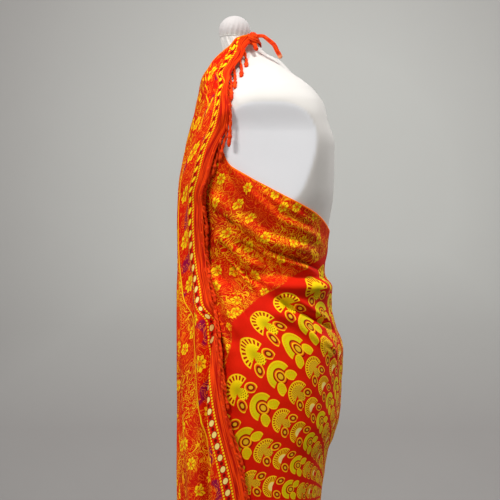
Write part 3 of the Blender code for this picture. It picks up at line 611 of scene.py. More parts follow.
OVER_PANEL = (
    ("edge_angle", "edge_height", "far_angle", "far_height", "pleat_share"),
    (-294.8, 1.5690, -293.8, 1.5815, 0.00),
    (-276.0, 1.5570, -267.0, 1.5755, 0.03),
    (-264.0, 1.5410, -247.0, 1.5620, 0.14),
    (-250.0, 1.5230, -224.0, 1.5460, 0.24),
    (-245.5, 1.5020, -208.0, 1.5270, 0.28),
    (-246.5, 1.4760, -196.0, 1.5010, 0.30),
    (-249.0, 1.4450, -181.0, 1.4660, 0.32),
    (-246.5, 1.4170, -161.0, 1.4280, 0.34),
    (-241.0, 1.3800, -137.0, 1.3880, 0.36),
    (-236.0, 1.3330, -112.0, 1.3480, 0.40),
    (-228.5, 1.2800, -90.0, 1.3120, 0.46),
    (-227.5, 1.2100, -90.0, 1.2500, 0.62),
    (-234.0, 1.1300, -90.0, 1.1650, 0.80),
    (-242.0, 1.0500, -90.0, 1.0650, 0.92),
    (-248.0, 0.9450, -90.0, 0.9300, 1.00),
    (-256.5, 0.8350, -90.0, 0.7800, 1.04),
    (-262.0, 0.7150, -90.0, 0.6000, 1.08),
    (-264.0, 0.5700, -90.0, 0.3800, 1.12),
    (-265.0, 0.4200, -90.0, 0.1400, 1.16),
)
UNDER_PANEL = (
    ("edge_angle", "edge_height", "far_angle", "far_height", "pleat_share"),
    (405.3, 1.5705, 405.3, 1.5830, 0.10),
    (372.0, 1.5695, 373.0, 1.5845, 0.14),
    (345.0, 1.5675, 345.0, 1.5845, 0.16),
    (317.0, 1.5630, 315.0, 1.5820, 0.18),
    (290.0, 1.5520, 284.0, 1.5750, 0.20),
    (264.0, 1.5420, 249.0, 1.5650, 0.22),
    (247.0, 1.5240, 223.0, 1.5490, 0.24),
    (240.0, 1.4960, 205.0, 1.5240, 0.26),
    (237.0, 1.4620, 188.0, 1.4880, 0.28),
    (233.0, 1.4240, 168.0, 1.4550, 0.28),
    (230.0, 1.3800, 146.2, 1.4250, 0.26),
    (227.0, 1.3330, 146.2, 1.3650, 0.20),
    (225.0, 1.2700, 146.2, 1.2900, 0.20),
    (225.0, 1.1700, 146.2, 1.1750, 0.24),
    (225.0, 1.0000, 146.2, 0.9800, 0.28),
    (225.0, 0.7200, 146.2, 0.6500, 0.30),
    (225.0, 0.4300, 146.2, 0.2850, 0.30),
)
OVER_PLEATS = (
    ("place", "half_width", "height"),
    (0.930, 0.036, 0.012),
    (0.800, 0.048, 0.016),
    (0.690, 0.042, 0.011),
    (0.590, 0.044, 0.014),
    (0.470, 0.045, 0.012),
    (0.360, 0.045, 0.010),
    (0.240, 0.045, 0.007),
)
UNDER_PLEATS = (
    ("place", "half_width", "height"),
    (0.850, 0.060, 0.010),
    (0.600, 0.070, 0.009),
    (0.350, 0.070, 0.008),
)
OVER_SELVEDGE_TO = 10 / 18
UNDER_SELVEDGE_TO = 10 / 16
OVER_LIFT = 0.009
EDGE_LIFT = 0.006
PANEL_OVER_FOLDS = 0.3
VALLEY_ANGLE = -234.5
VALLEY_HALF_WIDTH = 2.4
VALLEY_DEPTH = 0.028
VALLEY_TOP = (1.060, 1.140)
# Folds of the wrap as the left side shows them from the camera, each through four points.
SEEN_SCALE = 0.945
FOLDS = (
    ("y1", "z1", "y2", "z2", "y3", "z3", "y4", "z4", "half_width", "height"),
    (-0.0795, 1.3755, -0.0343, 1.3120, 0.0075, 1.2650, 0.0900, 1.2240, 0.0075, 0.0072),
    (-0.0795, 1.3570, -0.0508, 1.3120, -0.0042, 1.2632, 0.0578, 1.2245, 0.0045, -0.0101),
    (-0.1100, 1.3185, -0.0677, 1.2720, -0.0035, 1.2240, 0.0750, 1.2030, 0.0105, 0.0130),
    (-0.1080, 1.2850, -0.0677, 1.2583, -0.0075, 1.2114, 0.0875, 1.1755, 0.0042, -0.0135),
    (-0.0700, 1.2480, -0.0343, 1.2214, 0.0158, 1.1930, 0.0800, 1.1690, 0.0040, 0.0088),
    (-0.0600, 1.2270, -0.0280, 1.2120, -0.0035, 1.1930, 0.0327, 1.1745, 0.0042, -0.0081),
    (-0.0998, 1.2490, -0.0700, 1.2228, -0.0385, 1.1895, -0.0035, 1.1755, 0.0090, 0.0117),
    (-0.0900, 1.2290, -0.0677, 1.2012, -0.0511, 1.1829, -0.0109, 1.1510, 0.0038, -0.0108),
    (-0.0985, 1.2360, -0.0795, 1.2080, -0.0511, 1.1762, -0.0210, 1.1344, 0.0045, 0.0108),
    (-0.1000, 1.2270, -0.0795, 1.1895, -0.0648, 1.1762, -0.0440, 1.1490, 0.0042, -0.0101),
    (-0.1040, 1.1960, -0.0820, 1.1420, -0.0620, 1.0940, -0.0460, 1.0500, 0.0130, 0.0130),
    (-0.0200, 1.1500, 0.0400, 1.1460, 0.0800, 1.1460, 0.1040, 1.1440, 0.0120, 0.0130),
    (0.0050, 1.1330, 0.0390, 1.1073, 0.0750, 1.0900, 0.1150, 1.0645, 0.0050, -0.0115),
    (-0.0100, 1.1080, 0.0380, 1.0900, 0.0760, 1.0600, 0.1160, 1.0180, 0.0120, 0.0090),
)
SMALL_FOLDS = (
    ("y1", "z1", "y2", "z2", "y3", "z3", "y4", "z4", "half_width", "height"),
    (-0.064, 1.352, -0.034, 1.326, 0.010, 1.294, 0.080, 1.252, 0.0035, 0.0028),
    (-0.102, 1.208, -0.080, 1.160, -0.054, 1.118, -0.034, 1.080, 0.0040, -0.0046),
    (-0.106, 1.184, -0.092, 1.124, -0.080, 1.064, -0.070, 1.006, 0.0050, 0.0046),
    (-0.104, 1.150, -0.096, 1.090, -0.088, 1.030, -0.080, 0.970, 0.0060, -0.0046),
    (0.020, 1.166, 0.050, 1.162, 0.080, 1.160, 0.104, 1.158, 0.0042, -0.0050),
    (0.000, 1.136, 0.040, 1.126, 0.076, 1.104, 0.112, 1.074, 0.0038, 0.0046),
    (0.040, 1.094, 0.070, 1.070, 0.096, 1.042, 0.122, 1.004, 0.0040, -0.0040),
)
RIGHT_FOLD_DROP = 0.012
RIGHT_FOLD_SHARE = 0.85
FLUTES = (
    ("round", "half_width", "height"),
    (-0.215, 0.030, 0.012),
    (-0.150, 0.030, 0.016),
    (-0.075, 0.028, 0.012),
    (-0.005, 0.032, 0.016),
    (0.070, 0.028, 0.011),
    (0.140, 0.032, 0.017),
    (0.215, 0.030, 0.013),
    (0.285, 0.030, 0.015),
)
FLUTE_TOP = 0.93
FLUTE_FULL = 0.45
FOLDS_FADE = (136.0, 146.0)
DRAPE_SQUARENESS = 2.4
LATTICE_ANGLES = np.linspace(0, 180, 91)
LATTICE_HEIGHTS = np.linspace(0.06, 1.60, 155)


def base_radius(angle, z):
    """The cloth's inner radius with no folds: on the form, or where its own drape is wider."""
    gap = np.where(z > NECK_REST_FROM, NECK_REST_GAP, REST_GAP)
    on_form = np.where(z > FORM_BOTTOM - 0.02, form_radius(angle, z) + gap, 0.0)
    names = ("half_width", "front", "back")
    drape = section_radius(angle, *(sized(DRAPE_SECTIONS, name, z) for name in names), DRAPE_SQUARENESS)
    return smooth_max(on_form, drape, 0.0015)


def lattice_round():
    """The length along each section from the centre back, over the lattice of heights and angles."""
    angle, z = np.meshgrid(LATTICE_ANGLES, LATTICE_HEIGHTS)
    radius = base_radius(angle, z)
    x, y = radius * np.sin(np.radians(angle)), radius * np.cos(np.radians(angle))
    steps = np.hypot(np.diff(x, axis=1), np.diff(y, axis=1))
    return np.concatenate([np.zeros((len(LATTICE_HEIGHTS), 1)), np.cumsum(steps, axis=1)], axis=1)


ROUND = lattice_round()


def length_round(angle, z):
    """The signed length round the body from the centre back, read between the lattice's points."""
    across = np.clip(np.abs(angle), 0, 180) / (LATTICE_ANGLES[1] - LATTICE_ANGLES[0])
    down = (z - LATTICE_HEIGHTS[0]) / (LATTICE_HEIGHTS[1] - LATTICE_HEIGHTS[0])
    i = np.clip(down.astype(int), 0, len(LATTICE_HEIGHTS) - 2)
    j = np.clip(across.astype(int), 0, len(LATTICE_ANGLES) - 2)
    v, u = np.clip(down - i, 0, 1), np.clip(across - j, 0, 1)
    low = ROUND[i, j] * (1 - u) + ROUND[i, j + 1] * u
    high = ROUND[i + 1, j] * (1 - u) + ROUND[i + 1, j + 1] * u
    return np.sign(angle) * (low * (1 - v) + high * v)


def round_at_side(y, z):
    """The length round the body of the point that the left side view shows at (y, z)."""
    row = int(np.argmin(np.abs(LATTICE_HEIGHTS - z)))
    height = LATTICE_HEIGHTS[row]
    seen = centre_y(height) + base_radius(LATTICE_ANGLES, height) * np.cos(np.radians(LATTICE_ANGLES))
    return float(np.interp(-y, -seen, ROUND[row]))


def fold_lines(table):
    """Each fold's line in length round the body and height, for the left and the right side."""
    lines = []
    for row in table[1:]:
        seen = [(row[k] - AIM[1], row[k + 1] - AIM[2]) for k in (0, 2, 4, 6)]
        points = [(AIM[1] + y * SEEN_SCALE, AIM[2] + z * SEEN_SCALE) for y, z in seen]
        left = [(round_at_side(y, z), z) for y, z in points]
        right = [(-s, z - RIGHT_FOLD_DROP) for s, z in left]
        lines.append((left, row[8], row[9]))
        lines.append((right, row[8], row[9] * RIGHT_FOLD_SHARE))
    return lines


FOLD_LINES = fold_lines(FOLDS)
SMALL_FOLD_LINES = fold_lines(SMALL_FOLDS)


def folds_along(lines, along_round, z):
    """The sum of soft ridges height * exp(-(distance / half_width)^2), each faded at both ends."""
    relief = np.zeros(np.shape(z))
    for line, half_width, height in lines:
        distance, place = distance_to_line(along_round, z, line)
        fade = smooth_step(place, 0, 0.18) * (1 - 0.75 * smooth_step(place, 0.78, 1))
        relief = relief + height * fade * np.exp(-((distance / half_width) ** 2))
    return relief


def fold_relief(angle, z):
    """How far the folds and the skirt's flutes move the wrap outwards."""
    along_round = length_round(angle, z)
    relief = folds_along(FOLD_LINES, along_round, z) + folds_along(SMALL_FOLD_LINES, along_round, z)
    falls = 1 - smooth_step(z, FLUTE_FULL, FLUTE_TOP)
    for middle, half_width, height in FLUTES[1:]:
        relief = relief + height * falls * np.exp(-(((along_round - middle) / half_width) ** 2))
    return relief * (1 - smooth_step(np.abs(angle), *FOLDS_FADE))


def clear_of_form(angle, z, radius):
    """A radius kept outside the form by the rest gap."""
    gap = np.where(z > NECK_REST_FROM, NECK_REST_GAP, REST_GAP)
    floor = np.where(z > FORM_BOTTOM - 0.02, form_radius(angle, z) + gap, 0.02)
    return np.maximum(radius, floor)


def crumple(angle, z):
    """Faint unevenness of soft cloth: three crossing sine waves 29 to 40 mm long, 0.6 mm high in all."""
    s = length_round(angle, z) * 100
    t = z * 100
    waves = np.sin(0.9 * s + 1.3 * t) + np.sin(1.7 * s - 0.8 * t + 2.0) + np.sin(-0.6 * s + 2.1 * t + 0.7)
    return 0.0002 * waves


def panel_values(table, share_down):
    """The columns of a panel's table at places from the knot (0) to the hem (1)."""
    keys = np.linspace(0, 1, len(table) - 1)
    return [smooth_through(keys, np.array(values), share_down) for values in zip(*table[1:])]


def pleat_relief(place, pleats):
    """The sum of soft ridges height * exp(-((place - middle) / half_width)^2) across a panel."""
    relief = np.zeros(np.shape(place))
    for middle, half_width, height in pleats[1:]:
        relief = relief + height * np.exp(-(((place - middle) / half_width) ** 2))
    return relief


def panel_place(table, place, down):
    """A panel's angle, height and pleat share; rows run straight in angle and sag in height."""
    edge_angle, edge_height, far_angle, far_height, share = panel_values(table, down)
    angle = far_angle + (edge_angle - far_angle) * place
    z = far_height + (edge_height - far_height) * (0.5 * place + 0.5 * place**2)
    return angle, z, share


def over_point(place, down):
    """The over panel: place runs from its far side (0) to its fringed edge (1), down from the knot."""
    angle, z, share = panel_place(OVER_PANEL, place, down)
    lift = OVER_LIFT * smooth_step(-angle, 90, 118)
    lift = lift + EDGE_LIFT * smooth_step(place, 0.82, 1) * smooth_step(share, 0.3, 0.5)
    pleats = share * pleat_relief(place, OVER_PLEATS) * smooth_step(-angle, 90, 125)
    beneath = np.where(angle < -180, angle + 360, angle)
    wrap = base_radius(angle, z) + fold_relief(beneath, z) + crumple(beneath, z)
    valley = np.exp(-(((angle - VALLEY_ANGLE) / VALLEY_HALF_WIDTH) ** 2)) * (1 - smooth_step(z, *VALLEY_TOP))
    eased = PANEL_OVER_FOLDS + (1 - PANEL_OVER_FOLDS) * smooth_step(angle, -200, -150)
    radius = base_radius(angle, z) + eased * fold_relief(beneath, z) + lift + pleats - VALLEY_DEPTH * valley
    radius = smooth_max(radius, wrap + CLOTH_WALL + 0.001, 0.0005)
    return on_body(angle, z, clear_of_form(angle, z, radius))


def under_point(place, down):
    """The under panel, laid out as the over panel is, to the right side of the neck."""
    angle, z, share = panel_place(UNDER_PANEL, place, down)
    shown = 1 - smooth_step(down, 0.45, 0.6)
    radius = base_radius(angle, z) + share * shown * pleat_relief(place, UNDER_PLEATS)
    return on_body(angle, z, clear_of_form(angle, z, radius))


def walked(points, axis):
    """The length gone along a grid's rows or columns of points, from the first."""
    steps = np.linalg.norm(np.diff(points, axis=axis), axis=-1)
    start = np.zeros(np.take(steps, [0], axis=axis).shape)
    return np.concatenate([start, np.cumsum(steps, axis=axis)], axis=axis)


def add_cloth(name, points, across, down, selvedge, finish):
    """A sheet from its grid of points, with the flat cloth's metres as its UV map."""
    rows, columns = points.shape[:2]
    faces = grid_faces(rows, columns)
    corners = points.reshape(-1, 3)[faces]
    normals = np.cross(corners[:, 2] - corners[:, 0], corners[:, 3] - corners[:, 1])
    if (normals * corners.mean(axis=1) * (1, 1, 0)).sum() < 0:
        faces = faces[:, ::-1]
    piece = add_mesh(name, points.reshape(-1, 3), faces, finish)
    flat = np.stack([across, down], axis=-1).reshape(-1, 2)[faces.ravel()]
    layer = piece.data.uv_layers.new(name="cloth")
    layer.uv.foreach_set("vector", np.ascontiguousarray(flat, np.float32).ravel())
    add_values(piece, selvedge=selvedge)
    wall = piece.modifiers.new("wall", "SOLIDIFY")
    wall.thickness = CLOTH_WALL
    wall.offset = 1
    return piece


# The print: rings of fans on spokes about the middle of the cloth, scrolled flowers round them,
# and along each fringed end a border of cream dots and rosettes beside a bare red margin.
SPOKES = 36
SPOKE_SHIFT = 0.14
OUTER_RING = 0.405
RING_STEP = 0.143
CELL_WIDTH = 2 * math.pi / SPOKES / RING_STEP
FAN_MIDDLE = 0.035
FAN_RADIUS = 0.46
FAN_OPEN = 1.75
FLOWERS_FROM = 0.449
MARGIN = 0.019
BEAD_ROWS = (0.0215, 0.0365)
BEAD_PITCH = 0.0045
DOT_ROW = 0.029
DOT_PITCH = 0.018
ROSETTE_ROW = 0.061
ROSETTE_PITCH = 0.074
BORDER_WIDTH = 0.084
THREAD_PITCH = 0.0011
YELLOW = (252, 204, 14)
ORANGE = (248, 116, 8)
GREEN_YELLOW = (220, 200, 4)
BRIGHT_YELLOW = (250, 214, 6)
OLIVE_GREEN = (186, 164, 2)
OLIVE = (228, 176, 26)
CREAM = (244, 214, 120)
DARK = (128, 8, 2)
SHADE_RED = (176, 16, 2)
PURPLE = (150, 8, 58)


def print_rings(finish, u, v, ground):
    """The ringed middle: log-polar cells about (0, 0.575), a motif for each ring about its fan's middle."""
    side = CLOTH_HEIGHT / 2 - v
    radius = longest(u, side)
    ring = (radius / OUTER_RING).math("LOGARITHM", math.e) / RING_STEP
    row = ring.math("ROUND")
    spoke = u.math("ARCTAN2", side) * (SPOKES / (2 * math.pi)) - SPOKE_SHIFT
    p = (spoke - spoke.math("ROUND")) * CELL_WIDTH
    q = ring - row - FAN_MIDDLE
    kind = (row * -1.0).math("FLOORED_MODULO", 3.0)
    is_outer = row.above(-0.5, 0.1)
    is_arc = kind.near(1.0, 0.3, 0.1)
    is_dotted = kind.near(2.0, 0.3, 0.1)
    is_rich = is_outer.math("MAXIMUM", is_dotted)
    fan = longest(p, q) / FAN_RADIUS
    way = p.math("ARCTAN2", q)
    opened = abs(way).below(FAN_OPEN, 0.06)
    dots = ((fan * 34.0).math("SINE") * (way * 13.0).math("COSINE")).above(0.42, 0.2)

    inner = is_outer * 0.16 + is_dotted * 0.24 + 0.44
    band = fan - inner
    spread = way * (27.0 - is_outer * 7.0)
    slots = spread.math("COSINE").above(-0.05, 0.35) * band.above(0.03, 0.04) * fan.below(0.91, 0.03)
    lobe = longest(p * 1.2, (q + 0.20) * 0.9) / 0.19
    heart = (band.below(-0.03, 0.03) * opened).math("MAXIMUM", lobe.below(1.0, 0.06) * is_rich)
    heart_colour = finish.mix(is_dotted, finish.mix(is_outer, CREAM, BRIGHT_YELLOW), OLIVE)
    toward_buds = q.below(-0.02, 0.3).math("MAXIMUM", is_dotted * 0.7)
    heart_colour = finish.layers(
        heart_colour,
        (dots * is_rich * toward_buds * 0.9, DARK),
        (fan.below(0.34, 0.5) * is_outer * 0.8, OLIVE_GREEN),
    )
    paisley = longest(abs(p) - 0.31 + (q + 0.35) * 0.25, (q + 0.35) * 0.78) / 0.17
    with_fan = finish.layers(
        ground,
        (fan.below(1.0, 0.04) * opened, YELLOW),
        (slots * opened, SHADE_RED),
        (heart, heart_colour),
        (paisley.below(1.0, 0.1), YELLOW),
        (paisley.within(0.58, 0.82, 0.08), (232, 80, 6)),
        (paisley.below(0.62, 0.1), DARK),
        (paisley.below(0.34, 0.1), OLIVE),
    )
    rim_dots = (way * 30.0).math("COSINE").above(0.2, 0.4) * fan.within(0.79, 0.87, 0.03)
    eye = longest(p, (q + 0.06) * 0.78) / 0.235
    with_arc = finish.layers(
        ground,
        (fan.within(0.52, 1.0, 0.04) * opened, GREEN_YELLOW),
        (fan.within(0.92, 1.0, 0.03) * opened, YELLOW),
        (rim_dots * opened * 0.7, ORANGE),
        (eye.below(1.0, 0.1), DARK),
        (eye.below(0.86, 0.1), (236, 90, 8)),
        (eye.within(0.60, 0.72, 0.08), YELLOW),
        (eye.below(0.54, 0.1), DARK),
        (eye.below(0.36, 0.1), OLIVE),
        (paisley.below(1.08, 0.1), YELLOW),
        (paisley.below(0.86, 0.1), GREEN_YELLOW),
        (dots * paisley.below(0.86, 0.1) * 0.6, ORANGE),
    )
    return finish.mix(is_arc, with_fan, with_arc), radius


def rosette(finish, x, y, size, petals, colour, ground):
    """A flower by its distance over its size, less a cosine of the way round, slit between the petals."""
    turned = (x.math("ARCTAN2", y) * petals).math("COSINE")
    outline = longest(x, y) / size - turned * 0.13
    return finish.layers(
        colour,
        (outline.below(1.08, 0.1), ground),
        (outline.within(0.34, 0.94, 0.1), YELLOW),
        (turned.below(-0.30, 0.5) * outline.within(0.44, 0.84, 0.12) * 0.8, SHADE_RED),
        (outline.within(0.08, 0.26, 0.08), ORANGE),
    )


def print_flowers(finish, cloth, ground):
    """Scrolled flowers: thin contour lines of noise for the stems, small leaves and scattered rosettes."""
    stems = finish.noise(cloth, 36.0, 1.0, 0.4, 1.6, "2D")
    line = (stems * 5.0).math("PINGPONG", 0.5).above(0.415, 0.06)
    fine = finish.noise(cloth, 95.0, 1.0, 0.5, 1.4, "2D")
    leaf = (fine * 3.4).math("PINGPONG", 0.5).above(0.42, 0.06)
    scatter = finish.node(
        "ShaderNodeTexVoronoi",
        {"voronoi_dimensions": "2D", "feature": "F1"},
        {"Vector": cloth, "Scale": 22.0, "Randomness": 0.9},
    )
    away = finish.node(
        "ShaderNodeVectorMath", {"operation": "SUBTRACT"}, {0: cloth, 1: scatter.outputs["Position"]}
    )
    x, y, _ = finish.parts(away.outputs[0])
    warm = finish.noise(cloth, 13.0, 2.0, 0.5, 0.0, "2D")
    thread = finish.mix(warm.above(0.47, 0.14), (240, 96, 4), (252, 186, 16))
    dense = finish.noise(cloth, 9.0, 2.0, 0.5, 0.0, "2D").above(0.45, 0.2) * 0.65 + 0.35
    marks = line.math("MAXIMUM", leaf * dense)
    colour = finish.mix(marks, finish.mix(dense, SHADE_RED, ground), thread)
    return rosette(finish, x + stems * 0.006 - 0.003, y + fine * 0.006 - 0.003, 0.0090, 7.0, colour, ground)


def print_border(finish, from_end, v, cloth, ground, colour):
    """The ends' border: bare margin, beads, cream dots, beads, curls with rosettes, line, then the field."""
    soft = 0.0010
    scroll = finish.noise(cloth, 58.0, 1.0, 0.5, 1.6, "2D")
    curls = (scroll * 4.0).math("PINGPONG", 0.5).above(0.39, 0.05)
    inside = from_end.within(0.040, 0.080, soft)
    accent = finish.noise(cloth, 26.0, 1.0, 0.5, 0.0, "2D").above(0.60, 0.05)
    colour = finish.layers(
        colour,
        (from_end.below(BORDER_WIDTH, soft), ground),
        (accent * inside, PURPLE),
        (curls * inside, ORANGE),
    )
    colour = rosette(finish, v.repeat(ROSETTE_PITCH), from_end - ROSETTE_ROW, 0.0125, 8.0, colour, ground)
    step = v.repeat(DOT_PITCH)
    dot = longest(step, from_end - DOT_ROW) / 0.0043
    between = longest(abs(step) - DOT_PITCH / 2, from_end - DOT_ROW) / 0.0028
    dot_colour = finish.mix(v.below(0.38, 0.10), CREAM, YELLOW)
    beads = v.wave(BEAD_PITCH).above(-0.35, 0.5)
    threads = finish.node("ShaderNodeCombineXYZ", {}, {"X": from_end * 420.0, "Y": v * 16.0}).outputs[0]
    streak = finish.noise(threads, 1.0, 2.0, 0.6, 0.0, "2D").above(0.5, 0.25)
    return finish.layers(
        colour,
        (between.below(1.0, 0.2), DARK),
        (dot.below(1.25, 0.15), DARK),
        (dot.below(1.0, 0.15), dot_colour),
        *((from_end.near(middle, 0.0015, soft) * beads, YELLOW) for middle in BEAD_ROWS),
        (from_end.near(BORDER_WIDTH - 0.002, 0.0012, soft), YELLOW),
        (from_end.below(MARGIN, soft), finish.mix(streak, SHADE_RED, (248, 70, 6))),
    )


def printed_rayon():
    """The printed cloth's finish, on its UV map in metres."""
    finish = Finish("printed_rayon", Roughness=0.7, Specular_IOR_Level=0.06)
    cloth = finish.node("ShaderNodeUVMap", {"uv_map": "cloth"}).outputs[0]
    u, v, _ = finish.parts(cloth)
    dye = finish.noise(cloth, 5.0, 4.0, 0.6, 0.0, "2D")
    ground = finish.mix(dye, (206, 18, 1), (228, 34, 2))
    rings, radius = print_rings(finish, u, v, ground)
    flowers = print_flowers(finish, cloth, ground)
    colour = finish.mix(radius.above(FLOWERS_FROM, 0.003), rings, flowers)
    colour = finish.mix(radius.near(FLOWERS_FROM - 0.008, 0.008, 0.003), colour, ground)
    colour = print_border(finish, HALF_LENGTH - abs(u), v, cloth, ground, colour)
    colour = finish.mix(finish.kept("selvedge").below(0.0022, 0.0008), colour, ORANGE)
    slub = finish.noise(cloth, 260.0, 2.0, 0.6, 0.0, "2D")
    weave = finish.bump((u.wave(THREAD_PITCH) + v.wave(THREAD_PITCH)) * 0.25 + slub, 0.0003, 0.5)
    return finish.wear(colour, 0.62 + dye * 0.2, weave)


rayon = printed_rayon()


def back_wrap():
    """The wrap's grid: columns closer on the left side, rows closer above the hips."""
    angle = np.concatenate([np.linspace(-90, 0, 61)[:-1], np.linspace(0, 146, 166)])[None, :]
    share = np.concatenate([np.linspace(0, 0.36, 151)[:-1], np.linspace(0.36, 1, 61)])[:, None]
    keys = named(WRAP_EDGES, "angle")
    top = smooth_through(keys, named(WRAP_EDGES, "top_height"), np.abs(angle))
    hem = smooth_through(keys, named(WRAP_EDGES, "hem_height"), np.abs(angle))
    z = top + (hem - top) * share
    angle = angle + np.zeros(z.shape)
    radius = base_radius(angle, z) + fold_relief(angle, z) + crumple(angle, z)
    points = on_body(angle, z, clear_of_form(angle, z, radius))
    across = FULLNESS * length_round(angle, z) + GATHERED_ACROSS * smooth_step(z, 1.12, 1.17)
    down = CLOTH_HEIGHT / 2 + MIDDLE_HEIGHT - z - GATHERED_DOWN * smooth_step(z, 1.07, 1.17)
    selvedge = np.minimum(top - z, z - hem)
    return points, across, down, selvedge


back = add_cloth("cloth_round_the_back", *back_wrap(), rayon)
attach(back, "root")
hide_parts("sarong_back_wrap", "sarong_skirt_left", "sarong_skirt_right")


def over_panel():
    """The over panel's grid, with the cloth's metres measured from its fringed edge."""
    place, down = np.meshgrid(np.linspace(0, 1, 161), np.linspace(0, 1, 221))
    points = over_point(place, down)
    run = walked(points, 1)
    from_edge = run[:, -1:] - run
    width = run[:, -1:]
    _, far_z, _ = panel_place(OVER_PANEL, np.zeros((221, 1)), down[:, :1])
    beside = HALF_LENGTH - FULLNESS * length_round(np.full((221, 1), 90.0), np.clip(far_z, 0.1, 1.3))
    spread = beside * smooth_step(down[:, :1], -0.1, OVER_SELVEDGE_TO)
    full = np.maximum(spread, width)
    gathered = smooth_step(from_edge, 0.13, np.maximum(width, 0.16))
    across = -(HALF_LENGTH - from_edge - (full - width) * gathered)
    edge_run = walked(points[:, -1:], 0)
    edge_down = edge_run / edge_run[-1] * CLOTH_HEIGHT
    far_down = np.clip(CLOTH_HEIGHT / 2 + MIDDLE_HEIGHT - far_z, 0, CLOTH_HEIGHT)
    along = far_down + (edge_down - far_down) * (0.5 * place + 0.5 * place**2)
    selvedge = np.where(down < OVER_SELVEDGE_TO, run, 1.0)
    return points, across, along, selvedge


over = add_cloth("cloth_over_panel", *over_panel(), rayon)
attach(over, "root")
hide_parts("sarong_over_panel")


def under_panel():
    """The under panel's grid, with the cloth's metres measured from its fringed edge."""
    place, down = np.meshgrid(np.linspace(0, 1, 61), np.linspace(0, 1, 181))
    points = under_point(place, down)
    run = walked(points, 1)
    from_edge = run[:, -1:] - run
    edge_run = walked(points[:, -1:], 0)
    along = edge_run / edge_run[-1] * CLOTH_HEIGHT + 0 * run
    selvedge = np.where(down < UNDER_SELVEDGE_TO, run, 1.0)
    return points, HALF_LENGTH - from_edge, along, selvedge


under = add_cloth("cloth_under_panel", *under_panel(), rayon)
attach(under, "root")
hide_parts("sarong_under_panel")

# ---- Fringe ----
# The warp threads left loose at both short ends, gathered into bundles, each twisted, knotted and frayed.
# They are the cloth's own rayon threads, dyed the same red-orange as its bare margin.

TASSEL_SPACING = 0.0200
NECK_SPACING = 0.0270
NECK_FRINGE_LENGTH = 0.30
TASSEL_LENGTH = 0.058
NECK_TASSEL_LENGTH = 0.064
TASSEL_RADIUS = 0.0024
TASSEL_STEPS = 36
TASSEL_SIDES = 12
TASSEL_TURNS = 5.0
TASSEL_KNOT = 0.76
TASSEL_OFFSET = 0.0030
OVER_FRINGE = (0.05, 1.0)
UNDER_FRINGE = (0.25, 0.56)
FRINGE_SEED = 7


def round_path(path, radius, aside):
    """Points round a path: path + radius (cos a * side + sin a * up), side and up square to the path."""
    along = np.gradient(path, axis=-2)
    along = along / np.linalg.norm(along, axis=-1, keepdims=True)
    side = np.cross(along, aside)
    side = (side / np.linalg.norm(side, axis=-1, keepdims=True))[..., None, :]
    up = np.cross(side[..., 0, :], along)[..., None, :]
    turn = (np.arange(radius.shape[-1]) * 2 * math.pi / radius.shape[-1])[:, None]
    return path[..., None, :] + radius[..., None] * (np.cos(turn) * side + np.sin(turn) * up)


def add_tubes(name, paths, radius, aside, finish, **values):
    """Closed tubes round many paths as one mesh; the values are kept at its points."""
    tubes, steps, sides = radius.shape
    rings = round_path(paths, radius, aside).reshape(tubes, steps * sides, 3)
    points = np.concatenate([rings, paths[:, :1], paths[:, -1:]], axis=1)
    one = closed_ends(grid_faces(steps, sides, True), steps, sides)
    each = steps * sides + 2
    faces = [[corner + tube * each for corner in face] for tube in range(tubes) for face in one]
    piece = add_mesh(name, points.reshape(-1, 3), faces, finish)
    for key, numbers in values.items():
        flat = numbers.reshape(tubes, steps * sides)
        add_values(piece, **{key: np.concatenate([flat, flat[:, :1], flat[:, -1:]], axis=1)})
    return piece


def surface_radius(angle, z):
    """The outside of what the fringe lies against: the wrap below its top edge, the form above it."""
    side = np.where(angle > 180, angle - 360, angle)
    top = smooth_through(named(WRAP_EDGES, "angle"), named(WRAP_EDGES, "top_height"), np.abs(side))
    wrapped = base_radius(side, z) + np.maximum(fold_relief(side, z), 0) + CLOTH_WALL
    return np.where(z < top + 0.004, wrapped, form_radius(side, z))


def along_line(wanted, run, line):
    """The points of a line at wanted lengths, read between its own points, whose lengths are in run."""
    return np.stack([np.interp(wanted, run, line[:, k]) for k in range(3)], axis=-1)


